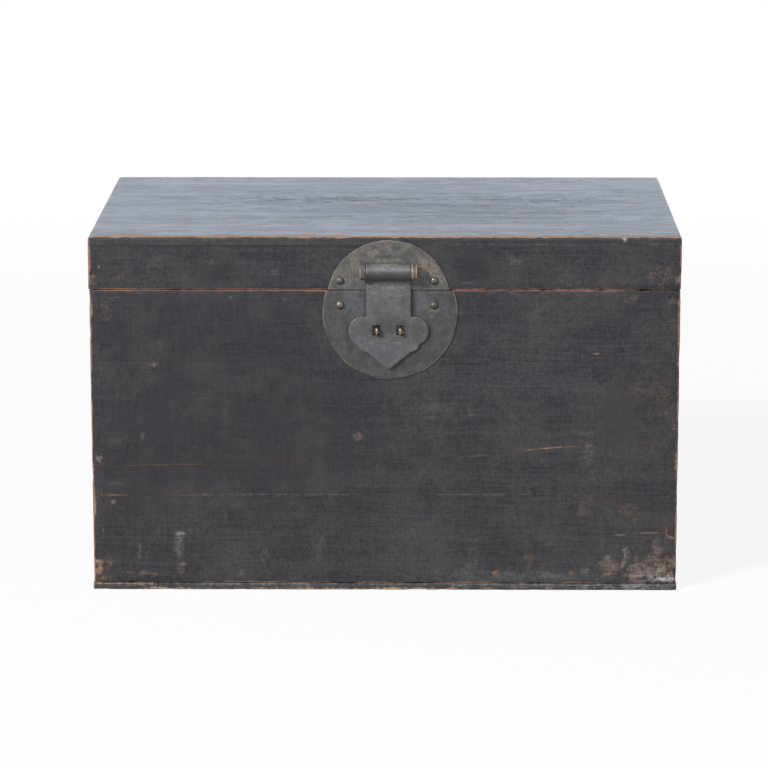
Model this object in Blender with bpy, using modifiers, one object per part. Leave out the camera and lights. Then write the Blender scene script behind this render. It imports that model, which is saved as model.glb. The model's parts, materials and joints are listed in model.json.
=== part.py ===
# An elm trunk: a carcass of jointed planks with through dovetails at its corners, on a base of three
# planks, under a lid with a dovetailed rim and a top of two planks. The front carries a round brass
# lock in two halves, whose hasp hangs from a rolled barrel over two staples. Two leaf hinges carry the
# lid at the back, and a bail handle hangs on each end.
# Metres, Z up, the front towards -Y. The origin is under the middle of the base.

import math

import bmesh
import bpy
from mathutils import Matrix, Vector

# Overall sizes of the lid, which is the widest part of the box, and of the trunk
LID_WIDTH = 0.900
LID_DEPTH = 0.580
LID_HEIGHT = 0.081
TRUNK_HEIGHT = 0.553

# Board thicknesses and how far faces stand apart
TOP_BOARD = 0.013
RIM_BOARD = 0.016
WALL_BOARD = 0.016
BASE_BOARD = 0.011
SETBACK = 0.0008  # carcass faces behind the lid's
BASE_LIP = 0.0015  # base planks past the carcass
TOP_EDGE_ROUND = 0.004
SEAT = 0.0003  # clearance between faces that touch
LID_GAP = 0.0006
BLIND = 0.003  # wood left behind a nail or a leg

# Dovetails: the tails are on the end boards
TAIL_END = 0.022
TAIL_FLARE = 0.0025  # a tail widens by this on each side towards its end
CARCASS_TAILS = 8
CARCASS_TAIL_SHIFT = -0.004  # the row of tails sits this far below an even spread
RIM_TAILS = 1

# Heights and depths of planks: the one between them takes what is left
FRONT_BOTTOM_PLANK = 0.139
FRONT_TOP_PLANK = 0.110
BACK_BOTTOM_PLANK = 0.156
BACK_TOP_PLANK = 0.156
TOP_BACK_PLANK = 0.226
BASE_SIDE_PLANK = 0.198

# The slanted joint of the front, above the base: it bends at two places along the front
SLANT_LEFT = 0.184
SLANT_BEND_X = 0.110
SLANT_BEND = 0.198
SLANT_KNEE_X = 0.250
SLANT_KNEE = 0.2145
SLANT_RIGHT = 0.2255

# Lock plates: each is a segment of a disc, cut off at the split between lid and carcass
LOCK_X = 0.006
PLATE = 0.0015
PLATE_SPLIT = 0.001
LOWER_PLATE_R = 0.1025
LOWER_PLATE_DROP = 0.035  # its centre below the split
LOWER_PLATE_SHIFT = 0.0023  # and right of the lock's middle
UPPER_PLATE_R = 0.0937
UPPER_PLATE_DROP = 0.0167
LOCK_NAIL_X = 0.0715
LOCK_NAIL_SHIFT = -0.0024  # the nails' middle from the lock's
LOWER_NAIL_DROP = 0.023
UPPER_NAIL_RISE = 0.0147
LOCK_NAIL_HEAD_R = 0.0065
LOCK_NAIL_HEAD = 0.005
NAIL_SHANK_R = 0.0018

# Hasp: heights are drops below the split, widths are half widths
HASP = 0.0022
HASP_RISE = 0.0302  # barrel axis above the split
BARREL_R = 0.0127
BARREL_GAP = 0.0006  # barrel to the upper plate
HASP_PIN_R = 0.0082
PIN_PROUD = 0.0005
STRAP_HALF = 0.0339
SHOULDER_DROP = 0.041
LOBE_HALF = 0.0608
LOBE_DROP = 0.060
CUSP_HALF = 0.0467
CUSP_DROP = 0.083
POINT_HALF = 0.0344
POINT_DROP = 0.0945
POINT_BULGE = 0.003
TIP_DROP = 0.122
KNUCKLE = 0.0085
KNUCKLE_R = 0.0122
KNUCKLE_NECK = 0.005
KNUCKLE_GAP = 0.001

# Staples that stand through the hasp's slots
STAPLE_X = 0.018
STAPLE_DROP = 0.0617
STAPLE_BAR_R = 0.0019
STAPLE_BEND_R = 0.0046
STAPLE_REACH = 0.011  # past the hasp's front face
SLOT_HALF = 0.006
SLOT_ROOM = 0.0011  # above and below a staple

# Leaf hinges on the back
HINGE_X = 0.270
LEAF = 0.0015
LEAF_WIDTH = 0.060
LEAF_HEIGHT = 0.042
LEAF_NAIL_X = 0.018
HINGE_BARREL_R = 0.0055
HINGE_PIN_R = 0.0026
HINGE_GAP = 0.0006
LEAF_NAIL_HEAD_R = 0.0045
LEAF_NAIL_HEAD = 0.0032
LEAF_BED = 0.0002  # barrel drawn in from the leaf's face and edges

# Bail handles on the ends
HANDLE_HEIGHT = 0.300
BAIL_R = 0.0035
BAIL_HALF = 0.056
BAIL_DROP = 0.046
BAIL_END = 0.034
BAIL_TOP_BEND = 0.006
BAIL_LOW_BEND = 0.016
EYE_Y = 0.044
EYE_R = 0.0075
EYE_ROOM = 0.0004
EYE_WIDTH = 0.0045
EYE_NECK = 0.006
WASHER = 0.001
WASHER_R = 0.011

# Facets
ROUND_STEPS = 24
SMALL_STEPS = 16
NAIL_STEPS = 14
DOME_STEPS = 4
PLATE_STEPS = 44
BEND_STEPS = 6
EDGE_STEPS = 3
BAR_RESOLUTION = 2
OVERCUT = 0.002  # how far a cutter runs past what it cuts
WELD = 1e-6
TURN_WELD = 1e-5
FLAT_ANGLE = math.radians(0.5)  # triangles of one cap are joined below this
SMOOTH_ANGLE = math.radians(35)
AXIS_EMPTY_SIZE = 0.03

# Places that follow from the sizes
LID_BOTTOM = TRUNK_HEIGHT - LID_HEIGHT
RIM_TOP = TRUNK_HEIGHT - TOP_BOARD - SEAT
WALL_TOP = LID_BOTTOM - LID_GAP
WALL_BOTTOM = BASE_BOARD + SEAT
SPLIT = LID_BOTTOM - LID_GAP / 2
LID_HALF_X = LID_WIDTH / 2
LID_HALF_Y = LID_DEPTH / 2
WALL_HALF_X = LID_HALF_X - SETBACK
WALL_HALF_Y = LID_HALF_Y - SETBACK
BARREL_Y = -LID_HALF_Y - SEAT - PLATE - BARREL_GAP - BARREL_R
BARREL_Z = SPLIT + HASP_RISE
HASP_BACK_Y = BARREL_Y + BARREL_R - SEAT
HASP_FRONT_Y = HASP_BACK_Y - HASP
HINGE_Y = LID_HALF_Y + SEAT + LEAF_BED + HINGE_BARREL_R
HANDLE_X = WALL_HALF_X + SEAT + WASHER + SEAT + EYE_R

# Outlines are drawn flat and turned: u to X and v to Z, or u to Y and v to Z
FACING_FRONT = Matrix.Rotation(math.radians(90), 4, "X")
FACING_BACK = Matrix.Rotation(math.radians(-90), 4, "X")
FACING_END = Matrix(((0, 0, 1, 0), (1, 0, 0, 0), (0, 1, 0, 0), (0, 0, 0, 1)))
ALONG_X = Matrix.Rotation(math.radians(90), 4, "Y")

for old in list(bpy.data.objects):
    bpy.data.objects.remove(old, do_unlink=True)

PARTS = bpy.data.collections.new("elm_trunk")
CUTTERS = bpy.data.collections.new("cutters")
for group in (PARTS, CUTTERS):
    bpy.context.scene.collection.children.link(group)


def finish(name, colour, roughness, metallic):
    material = bpy.data.materials.new(name)
    material.use_nodes = True
    shader = material.node_tree.nodes["Principled BSDF"]
    shader.inputs["Base Color"].default_value = (*colour, 1)
    shader.inputs["Roughness"].default_value = roughness
    shader.inputs["Metallic"].default_value = metallic
    return material


LACQUER = finish("black_lacquer", (0.052, 0.050, 0.053), 0.42, 0)
BARE_ELM = finish("bare_elm", (0.24, 0.16, 0.10), 0.7, 0)
DARK_BRASS = finish("dark_brass", (0.15, 0.145, 0.13), 0.45, 0.85)
RUBBED_BRASS = finish("rubbed_brass", (0.46, 0.33, 0.17), 0.35, 1)


def at(x, y, z):
    return Matrix.Translation((x, y, z))


def axis_empty(name, place, parent=None):
    """An empty on a joint's axis, which carries the pieces that turn about it."""
    empty = bpy.data.objects.new(name, None)
    PARTS.objects.link(empty)
    empty.empty_display_size = AXIS_EMPTY_SIZE
    if parent:
        empty.parent = parent
        empty.matrix_parent_inverse = parent.matrix_world.inverted()
    empty.matrix_basis = at(*place)
    bpy.context.view_layer.update()
    return empty


def put(name, data, place, material, carrier=None):
    """One part of the trunk, in its place, riding on the empty that carries it."""
    part = bpy.data.objects.new(name, data)
    if not data.materials:
        data.materials.append(material)
    PARTS.objects.link(part)
    if carrier:
        part.parent = carrier
        part.matrix_parent_inverse = carrier.matrix_world.inverted()
    part.matrix_basis = place
    return part


def put_cutter(name, mesh):
    cutter = bpy.data.objects.new(name, mesh)
    CUTTERS.objects.link(cutter)
    cutter.hide_render = True
    cutter.display_type = "WIRE"
    return cutter


def boolean(part, other, operation="DIFFERENCE"):
    modifier = part.modifiers.new(other.name, "BOOLEAN")
    modifier.operation = operation
    modifier.solver = "EXACT"
    modifier.object = other


def smooth(mesh):
    mesh.shade_smooth()
    mesh.set_sharp_from_angle(angle=SMOOTH_ANGLE)
    return mesh


def flat_mesh(name, loops, thickness):
    """A plate with this outline: the first loop is its edge, and loops inside that are holes."""
    curve = bpy.data.curves.new(name, "CURVE")
    curve.dimensions = "2D"
    curve.fill_mode = "BOTH"
    curve.extrude = thickness / 2
    for loop in loops:
        spline = curve.splines.new("POLY")
        spline.points.add(len(loop) - 1)
        for point, (u, v) in zip(spline.points, loop):
            point.co = (u, v, 0, 1)
        spline.use_cyclic_u = True
    drawing = bpy.data.objects.new(name + "_drawing", curve)
    CUTTERS.objects.link(drawing)
    graph = bpy.context.evaluated_depsgraph_get()
    mesh = bpy.data.meshes.new_from_object(drawing.evaluated_get(graph))
    mesh.name = name
    bpy.data.objects.remove(drawing)
    bpy.data.curves.remove(curve)
    weld = bmesh.new()
    weld.from_mesh(mesh)
    bmesh.ops.remove_doubles(weld, verts=weld.verts, dist=WELD)
    bmesh.ops.dissolve_limit(weld, angle_limit=FLAT_ANGLE, verts=weld.verts, edges=weld.edges)
    bmesh.ops.recalc_face_normals(weld, faces=weld.faces)
    weld.to_mesh(mesh)
    weld.free()
    mesh.materials.clear()
    return smooth(mesh)


def tube_curve(name, points, radius):
    """A round bar along these points, with closed ends."""
    curve = bpy.data.curves.new(name, "CURVE")
    curve.dimensions = "3D"
    curve.bevel_depth = radius
    curve.bevel_resolution = BAR_RESOLUTION
    curve.use_fill_caps = True
    spline = curve.splines.new("POLY")
    spline.points.add(len(points) - 1)
    for point, place in zip(spline.points, points):
        point.co = (*place, 1)
    return curve


def add_box(shape, low, high):
    low, high = Vector(low), Vector(high)
    scale = Matrix.Diagonal((*(high - low), 1))
    bmesh.ops.create_cube(shape, size=1, matrix=Matrix.Translation((low + high) / 2) @ scale)


def add_rod(shape, centre, turn, radius, length, steps):
    bmesh.ops.create_cone(shape, cap_ends=True, segments=steps, radius1=radius, radius2=radius,
                          depth=length, matrix=Matrix.Translation(centre) @ turn)


def shape_mesh(name, shape):
    mesh = bpy.data.meshes.new(name)
    shape.to_mesh(mesh)
    shape.free()
    return smooth(mesh)


def arc(u, v, radius, start, end, steps):
    """Points of an arc, both ends included, with angles in radians."""
    angles = [start + (end - start) * i / steps for i in range(steps + 1)]
    return [(u + radius * math.cos(a), v + radius * math.sin(a)) for a in angles]


def circle(u, v, radius, steps):
    return arc(u, v, radius, 0, 2 * math.pi, steps)[:-1]


def arc_through(first, middle, last, steps):
    """The arc from first to last that passes through middle."""
    (ax, ay), (bx, by), (cx, cy) = first, middle, last
    a, b, c = ax * ax + ay * ay, bx * bx + by * by, cx * cx + cy * cy
    d = 2 * (ax * (by - cy) + bx * (cy - ay) + cx * (ay - by))
    u = (a * (by - cy) + b * (cy - ay) + c * (ay - by)) / d
    v = (a * (cx - bx) + b * (ax - cx) + c * (bx - ax)) / d
    start, via, end = (math.atan2(y - v, x - u) for x, y in (first, middle, last))
    turn = 2 * math.pi
    if (via - start) % turn < (end - start) % turn:
        end = start + (end - start) % turn
    else:
        end = start - (start - end) % turn
    return arc(u, v, math.hypot(ax - u, ay - v), start, end, steps)


def filleted(corners, radii, steps):
    """A flat path through these corners, each inner one rounded by its radius."""
    path = [corners[0]]
    for before, corner, after, radius in zip(corners, corners[1:], corners[2:], radii):
        into = (Vector(before) - Vector(corner)).normalized()
        out = (Vector(after) - Vector(corner)).normalized()
        half = into.angle(out) / 2
        reach = radius / math.tan(half)
        centre = Vector(corner) + (into + out).normalized() * (radius / math.sin(half))
        start = Vector(corner) + into * reach
        end = Vector(corner) + out * reach
        middle = centre + (Vector(corner) - centre).normalized() * radius
        path += arc_through(start, middle, end, steps)
    return path + [corners[-1]]


# Boards

def tail_half(depth, board):
    """Half height of a tail at this depth behind the face where its end shows."""
    return TAIL_END / 2 - TAIL_FLARE * depth / board


def tail_heights(low, high, count, shift=0):
    pitch = (high - low) / count
    return [low + shift + pitch * (i + 0.5) for i in range(count)]


def tailed_outline(half_depth, board, low, high, tails):
    """An end board's outline with a row of tails at each end."""
    shoulder = half_depth - board - SEAT
    root, end = tail_half(board + SEAT, board), tail_half(0, board)
    back = [(shoulder, low)]
    for z in tails:
        back += [(shoulder, z - root), (half_depth, z - end), (half_depth, z + end), (shoulder, z + root)]
    back.append((shoulder, high))
    return back + [(-y, z) for y, z in reversed(back)]


def socket_cutter(name, half_width, half_depth, board, tails, side):
    """Cuts the sockets of both rows of tails from the boards of one face: side is -1 for the front."""
    inner, outer = board + OVERCUT, -OVERCUT
    loops = []
    for z in tails:
        root, end = tail_half(inner, board) + SEAT, tail_half(outer, board) + SEAT
        near, far = side * (half_depth - inner), side * (half_depth - outer)
        loops.append([(near, z - root), (far, z - end), (far, z + end), (near, z + root)])
    thickness = board + SEAT + OVERCUT
    middle = half_width - board - SEAT + thickness / 2
    row = flat_mesh(name + "_row", loops, thickness)
    both = bmesh.new()
    for x in (-middle, middle):
        row.transform(at(x, 0, 0) @ FACING_END)
        both.from_mesh(row)
        row.transform((at(x, 0, 0) @ FACING_END).inverted())
    bpy.data.meshes.remove(row)
    return put_cutter(name, shape_mesh(name, both))


def plank_wall(names, joints, low, high, half_width, y, board, cutters):
    """A wall of planks on edge. A joint is a row of points from left to right."""
    bottom = [(-half_width, low - SEAT / 2), (half_width, low - SEAT / 2)]
    top = [(-half_width, high + SEAT / 2), (half_width, high + SEAT / 2)]
    edges = [bottom, *joints, top]
    planks = []
    for name, under, over in zip(names, edges, edges[1:]):
        outline = [(x, z + SEAT / 2) for x, z in under] + [(x, z - SEAT / 2) for x, z in reversed(over)]
        mesh = flat_mesh(name, [outline], board)
        plank = put(name, mesh, at(0, y, 0) @ FACING_FRONT, LACQUER)
        for cutter in cutters:
            boolean(plank, cutter)
        planks.append(plank)
    return planks


def level_joint(z):
    return [(-WALL_HALF_X, z), (WALL_HALF_X, z)]


def end_board(name, side, half_width, half_depth, board, low, high, tails, carrier=None):
    mesh = flat_mesh(name, [tailed_outline(half_depth, board, low, high, tails)], board)
    return put(name, mesh, at(side * (half_width - board / 2), 0, 0) @ FACING_END, LACQUER, carrier)


def build_carcass():
    """Returns the planks of each wall, for the holes of what is fastened to them."""
    tails = tail_heights(WALL_BOTTOM, WALL_TOP, CARCASS_TAILS, CARCASS_TAIL_SHIFT)
    walls = {}
    bends = ((-WALL_HALF_X, SLANT_LEFT), (SLANT_BEND_X, SLANT_BEND), (SLANT_KNEE_X, SLANT_KNEE),
             (WALL_HALF_X, SLANT_RIGHT))
    slant = [(x, WALL_BOTTOM + rise) for x, rise in bends]
    face = WALL_HALF_Y - WALL_BOARD / 2
    front_names = [f"front_plank_{n}" for n in ("bottom", "lower_wedge", "upper_wedge", "top")]
    front_joints = [level_joint(WALL_BOTTOM + FRONT_BOTTOM_PLANK), slant,
                    level_joint(WALL_TOP - FRONT_TOP_PLANK)]
    back_names = [f"back_plank_{n}" for n in ("bottom", "middle", "top")]
    back_joints = [level_joint(WALL_BOTTOM + BACK_BOTTOM_PLANK), level_joint(WALL_TOP - BACK_TOP_PLANK)]
    for wall, side, names, joints in (("front", -1, front_names, front_joints),
                                      ("back", 1, back_names, back_joints)):
        sockets = socket_cutter(f"{wall}_sockets", WALL_HALF_X, WALL_HALF_Y, WALL_BOARD, tails, side)
        walls[wall] = plank_wall(names, joints, WALL_BOTTOM, WALL_TOP, WALL_HALF_X, side * face,
                                 WALL_BOARD, [sockets])
    middle = CARCASS_TAILS // 2
    joint = (tails[middle - 1] + tails[middle]) / 2
    for wall, side in (("left", -1), ("right", 1)):
        walls[wall] = [
            end_board(f"{wall}_plank_lower", side, WALL_HALF_X, WALL_HALF_Y, WALL_BOARD,
                      WALL_BOTTOM, joint - SEAT / 2, tails[:middle]),
            end_board(f"{wall}_plank_upper", side, WALL_HALF_X, WALL_HALF_Y, WALL_BOARD,
                      joint + SEAT / 2, WALL_TOP, tails[middle:]),
        ]
    return walls


def build_base():
    half_x, half_y = WALL_HALF_X + BASE_LIP, WALL_HALF_Y + BASE_LIP
    cuts = (-half_y, -half_y + BASE_SIDE_PLANK, half_y - BASE_SIDE_PLANK, half_y)
    names = ("base_plank_front", "base_plank_middle", "base_plank_rear")
    for i, name in enumerate(names):
        near = cuts[i] + (SEAT / 2 if i else 0)
        far = cuts[i + 1] - (SEAT / 2 if i < len(names) - 1 else 0)
        shape = bmesh.new()
        add_box(shape, (-half_x, near, 0), (half_x, far, BASE_BOARD))
        put(name, shape_mesh(name, shape), Matrix(), BARE_ELM)


def build_lid(lid_axis):
    """Returns the front and back boards of the rim, for the holes of what is fastened to them."""
    tails = tail_heights(LID_BOTTOM, RIM_TOP, RIM_TAILS)
    rims = {}
    for wall, side in (("front", -1), ("back", 1)):
        name = f"lid_rim_{wall}"
        y = side * (LID_HALF_Y - RIM_BOARD / 2)
        shape = bmesh.new()
        add_box(shape, (-LID_HALF_X, y - RIM_BOARD / 2, LID_BOTTOM), (LID_HALF_X, y + RIM_BOARD / 2, RIM_TOP))
        rims[wall] = put(name, shape_mesh(name, shape), Matrix(), LACQUER, lid_axis)
        boolean(rims[wall], socket_cutter(f"{name}_sockets", LID_HALF_X, LID_HALF_Y, RIM_BOARD, tails, side))
    for wall, side in (("left", -1), ("right", 1)):
        end_board(f"lid_rim_{wall}", side, LID_HALF_X, LID_HALF_Y, RIM_BOARD, LID_BOTTOM, RIM_TOP,
                  tails, lid_axis)
    joint = LID_HALF_Y - TOP_BACK_PLANK
    top_plank("lid_top_plank_front", -LID_HALF_Y, joint - SEAT / 2, -1, lid_axis)
    top_plank("lid_top_plank_back", joint + SEAT / 2, LID_HALF_Y, 1, lid_axis)
    return rims


def top_plank(name, near, far, outer_side, lid_axis):
    """A plank of the top, its outer edges rounded over and its joint edge left square."""
    shape = bmesh.new()
    add_box(shape, (-LID_HALF_X, near, TRUNK_HEIGHT - TOP_BOARD), (LID_HALF_X, far, TRUNK_HEIGHT))
    joint = far if outer_side < 0 else near
    rounded = []
    for edge in shape.edges:
        ends = [v.co for v in edge.verts]
        on_joint = all(abs(p.y - joint) < SEAT for p in ends)
        on_top = all(abs(p.z - TRUNK_HEIGHT) < SEAT for p in ends)
        upright = abs(ends[0].z - ends[1].z) > SEAT
        if not on_joint and (on_top or upright):
            rounded.append(edge)
    bmesh.ops.bevel(shape, geom=rounded, offset=TOP_EDGE_ROUND, segments=EDGE_STEPS, profile=0.5,
                    affect="EDGES")
    put(name, shape_mesh(name, shape), Matrix(), LACQUER, lid_axis)


# Fastenings

def nail_mesh(name, head_r, head, shank):
    """A domed nail along Z with the underside of its head at zero, turned from its half profile."""
    angles = [math.pi / 2 * i / DOME_STEPS for i in range(DOME_STEPS + 1)]
    dome = [(head_r * math.sin(a), head * math.cos(a)) for a in angles]
    profile = dome + [(NAIL_SHANK_R, 0), (NAIL_SHANK_R, -shank), (0, -shank)]
    shape = bmesh.new()
    points = [shape.verts.new((r, 0, z)) for r, z in profile]
    for first, second in zip(points, points[1:]):
        shape.edges.new((first, second))
    mesh = bpy.data.meshes.new(name)
    shape.to_mesh(mesh)
    shape.free()
    return mesh


def put_nail(name, mesh, place, carrier=None):
    nail = put(name, mesh, place, RUBBED_BRASS, carrier)
    turn = nail.modifiers.new("turn", "SCREW")
    turn.axis = "Z"
    turn.steps = turn.render_steps = NAIL_STEPS
    turn.use_merge_vertices = True
    turn.merge_threshold = TURN_WELD
    return nail


def nail_hole(shape, x, y, z, length, side):
    """A hole for a nail that goes in at y, into the front (side -1) or the back (side 1)."""
    middle = y - side * (length - OVERCUT) / 2
    add_rod(shape, (x, middle, z), FACING_FRONT, NAIL_SHANK_R + SEAT, length + OVERCUT, SMALL_STEPS)


def plate_outline(radius, drop, keep_upper):
    """A disc segment below or above the split, cut half the split gap from it."""
    chord = drop + (PLATE_SPLIT if keep_upper else -PLATE_SPLIT) / 2
    edge = math.asin(chord / radius)
    if keep_upper:
        return arc(0, -drop, radius, edge, math.pi - edge, PLATE_STEPS)
    return arc(0, -drop, radius, math.pi - edge, 2 * math.pi + edge, PLATE_STEPS)


def build_lock_plate(name, x, radius, drop, keep_upper, face_y, carrier=None):
    mesh = flat_mesh(name, [plate_outline(radius, drop, keep_upper)], PLATE)
    place = at(x, face_y - SEAT - PLATE / 2, SPLIT) @ FACING_FRONT
    return put(name, mesh, place, DARK_BRASS, carrier)


def build_lower_lock(front_planks):
    plate = build_lock_plate("lock_plate_lower", LOCK_X + LOWER_PLATE_SHIFT, LOWER_PLATE_R, LOWER_PLATE_DROP,
                             False, -WALL_HALF_Y)
    head_y = -WALL_HALF_Y - SEAT - PLATE - SEAT
    shank = SEAT + PLATE + SEAT + WALL_BOARD - BLIND
    nail = nail_mesh("lock_nail_lower", LOCK_NAIL_HEAD_R, LOCK_NAIL_HEAD, shank)
    holes = bmesh.new()
    for side, word in ((-1, "left"), (1, "right")):
        x, z = LOCK_X + LOCK_NAIL_SHIFT + side * LOCK_NAIL_X, SPLIT - LOWER_NAIL_DROP
        put_nail(f"lock_nail_lower_{word}", nail, at(x, head_y, z) @ FACING_FRONT)
        nail_hole(holes, x, head_y, z, shank + SEAT, -1)
        build_staple(f"staple_{word}", LOCK_X + side * STAPLE_X, holes)
    cutter = put_cutter("front_wall_holes", shape_mesh("front_wall_holes", holes))
    for part in (plate, *front_planks):
        boolean(part, cutter)


def build_staple(name, x, holes):
    """A bar bent round, with both legs through the plate into the wood."""
    tip = HASP_FRONT_Y - STAPLE_REACH
    bend_y = tip + STAPLE_BAR_R + STAPLE_BEND_R
    leg_end = -WALL_HALF_Y + WALL_BOARD - BLIND
    bend = arc(bend_y, 0, STAPLE_BEND_R, -math.pi / 2, -3 * math.pi / 2, 2 * BEND_STEPS)
    path = [(leg_end, -STAPLE_BEND_R), *bend, (leg_end, STAPLE_BEND_R)]
    curve = tube_curve(name, [(0, y, z) for y, z in path], STAPLE_BAR_R)
    z = SPLIT - STAPLE_DROP
    put(name, curve, at(x, 0, z), RUBBED_BRASS)
    start = -WALL_HALF_Y - SEAT - PLATE - OVERCUT
    length = leg_end + SEAT - start
    for side in (-1, 1):
        add_rod(holes, (x, start + length / 2, z + side * STAPLE_BEND_R), FACING_FRONT,
                STAPLE_BAR_R + SEAT, length, SMALL_STEPS)


def build_upper_lock(rim, lid_axis):
    plate = build_lock_plate("lock_plate_upper", LOCK_X, UPPER_PLATE_R, UPPER_PLATE_DROP, True, -LID_HALF_Y,
                             lid_axis)
    head_y = -LID_HALF_Y - SEAT - PLATE - SEAT
    shank = SEAT + PLATE + SEAT + RIM_BOARD - BLIND
    nail = nail_mesh("lock_nail_upper", LOCK_NAIL_HEAD_R, LOCK_NAIL_HEAD, shank)
    holes = bmesh.new()
    for side, word in ((-1, "left"), (1, "right")):
        x, z = LOCK_X + LOCK_NAIL_SHIFT + side * LOCK_NAIL_X, SPLIT + UPPER_NAIL_RISE
        put_nail(f"lock_nail_upper_{word}", nail, at(x, head_y, z) @ FACING_FRONT, lid_axis)
        nail_hole(holes, x, head_y, z, shank + SEAT, -1)
        build_knuckle(f"hasp_knuckle_{word}", side, holes, lid_axis)
    cutter = put_cutter("lid_front_holes", shape_mesh("lid_front_holes", holes))
    for part in (plate, rim):
        boolean(part, cutter)
    length = 2 * (STRAP_HALF + KNUCKLE_GAP + KNUCKLE + PIN_PROUD)
    shape = bmesh.new()
    add_rod(shape, (0, 0, 0), ALONG_X, HASP_PIN_R, length, ROUND_STEPS)
    put("hasp_pin", shape_mesh("hasp_pin", shape), at(LOCK_X, BARREL_Y, BARREL_Z), RUBBED_BRASS, lid_axis)


def necked_ring(radius, bore, neck, reach, steps):
    """A ring with a straight neck along +u that ends at reach, and its bore."""
    spread = math.asin(neck / 2 / radius)
    ring = arc(0, 0, radius, spread, 2 * math.pi - spread, steps)
    return [[(reach, neck / 2), *ring, (reach, -neck / 2)], circle(0, 0, bore, steps)]


def build_knuckle(name, side, holes, lid_axis):
    """A loop round the hasp's pin, its neck let through the plate into the rim."""
    neck_end = -LID_HALF_Y + RIM_BOARD - BLIND
    loops = necked_ring(KNUCKLE_R, HASP_PIN_R + SEAT, KNUCKLE_NECK, neck_end - BARREL_Y, ROUND_STEPS)
    x = LOCK_X + side * (STRAP_HALF + KNUCKLE_GAP + KNUCKLE / 2)
    mesh = flat_mesh(name, loops, KNUCKLE)
    put(name, mesh, at(x, BARREL_Y, BARREL_Z) @ FACING_END, DARK_BRASS, lid_axis)
    half, tall = KNUCKLE / 2 + SEAT, KNUCKLE_NECK / 2 + SEAT
    mouth = -LID_HALF_Y - SEAT - PLATE - SEAT
    add_box(holes, (x - half, mouth, BARREL_Z - tall), (x + half, neck_end + SEAT, BARREL_Z + tall))


def hasp_outline():
    """Strap, two lobes a side and a point, drawn from the split at the lock's middle."""
    shoulder, lobe = (STRAP_HALF, -SHOULDER_DROP), (LOBE_HALF, -LOBE_DROP)
    cusp, point = (CUSP_HALF, -CUSP_DROP), (POINT_HALF, -POINT_DROP)
    chord = Vector(point) - Vector(cusp)
    outward = Vector((-chord.y, chord.x)).normalized()
    bulge = (Vector(cusp) + Vector(point)) / 2 + outward * POINT_BULGE
    right = [(STRAP_HALF, HASP_RISE)]
    right += arc_through(shoulder, lobe, cusp, 2 * BEND_STEPS)
    right += arc_through(cusp, bulge, point, BEND_STEPS)[1:]
    return right + [(0, -TIP_DROP)] + [(-x, z) for x, z in reversed(right)]


def build_hasp(hasp_axis):
    plate = flat_mesh("hasp", [hasp_outline()], HASP)
    place = at(LOCK_X, (HASP_BACK_Y + HASP_FRONT_Y) / 2, SPLIT) @ FACING_FRONT
    barrel_place = at(LOCK_X, BARREL_Y, BARREL_Z)
    plate.transform(barrel_place.inverted() @ place)
    hasp = put("hasp", plate, barrel_place, DARK_BRASS, hasp_axis)
    loops = [circle(0, 0, BARREL_R, ROUND_STEPS), circle(0, 0, HASP_PIN_R + SEAT, ROUND_STEPS)]
    ring = flat_mesh("hasp_barrel", loops, 2 * STRAP_HALF)
    ring.transform(barrel_place @ FACING_END)
    boolean(hasp, put_cutter("hasp_barrel", ring), "UNION")
    slots = bmesh.new()
    tall = STAPLE_BEND_R + STAPLE_BAR_R + SLOT_ROOM
    for side in (-1, 1):
        x, z = LOCK_X + side * STAPLE_X, SPLIT - STAPLE_DROP
        add_box(slots, (x - SLOT_HALF, HASP_FRONT_Y - OVERCUT, z - tall),
                (x + SLOT_HALF, HASP_BACK_Y + OVERCUT, z + tall))
    boolean(hasp, put_cutter("hasp_slots", shape_mesh("hasp_slots", slots)))


def leaf_notches(spans):
    """The stretches of a leaf's edge that are cut away, where the other leaf's knuckles turn."""
    half = LEAF_WIDTH / 2
    ends = [-half - OVERCUT] + [u for span in spans for u in span] + [half + OVERCUT]
    pairs = list(zip(ends[::2], ends[1::2]))
    return [(left, right) for left, right in pairs if right - left > OVERCUT + SEAT]


def build_leaf(name, x, spans, direction, face_y, carrier=None):
    """One leaf, its knuckles over these spans: direction is 1 for the lid's leaf."""
    near, far = face_y + SEAT, face_y + SEAT + LEAF
    foot = HINGE_BARREL_R + HINGE_GAP

    def upright_box(shape, left, right, y0, y1, v0, v1):
        low, high = sorted((SPLIT + direction * v0, SPLIT + direction * v1))
        add_box(shape, (x + left, y0, low), (x + right, y1, high))

    plate, notches = bmesh.new(), bmesh.new()
    upright_box(plate, -LEAF_WIDTH / 2, LEAF_WIDTH / 2, near, far, -SEAT, foot + LEAF_HEIGHT)
    for left, right in leaf_notches(spans):
        upright_box(notches, left, right, near - OVERCUT, far + OVERCUT, -SEAT - OVERCUT, foot)
    leaf = put(name, shape_mesh(name, plate), Matrix(), DARK_BRASS, carrier)
    boolean(leaf, put_cutter(f"{name}_notches", shape_mesh(f"{name}_notches", notches)))
    for left, right in spans:
        loops = [circle(0, 0, HINGE_BARREL_R, SMALL_STEPS), circle(0, 0, HINGE_PIN_R + SEAT, SMALL_STEPS)]
        ring = flat_mesh(f"{name}_ring", loops, right - left - 2 * LEAF_BED)
        ring.transform(at(x + (left + right) / 2, HINGE_Y, SPLIT) @ FACING_END)
        boolean(leaf, put_cutter(f"{name}_ring", ring), "UNION")
    return leaf


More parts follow.
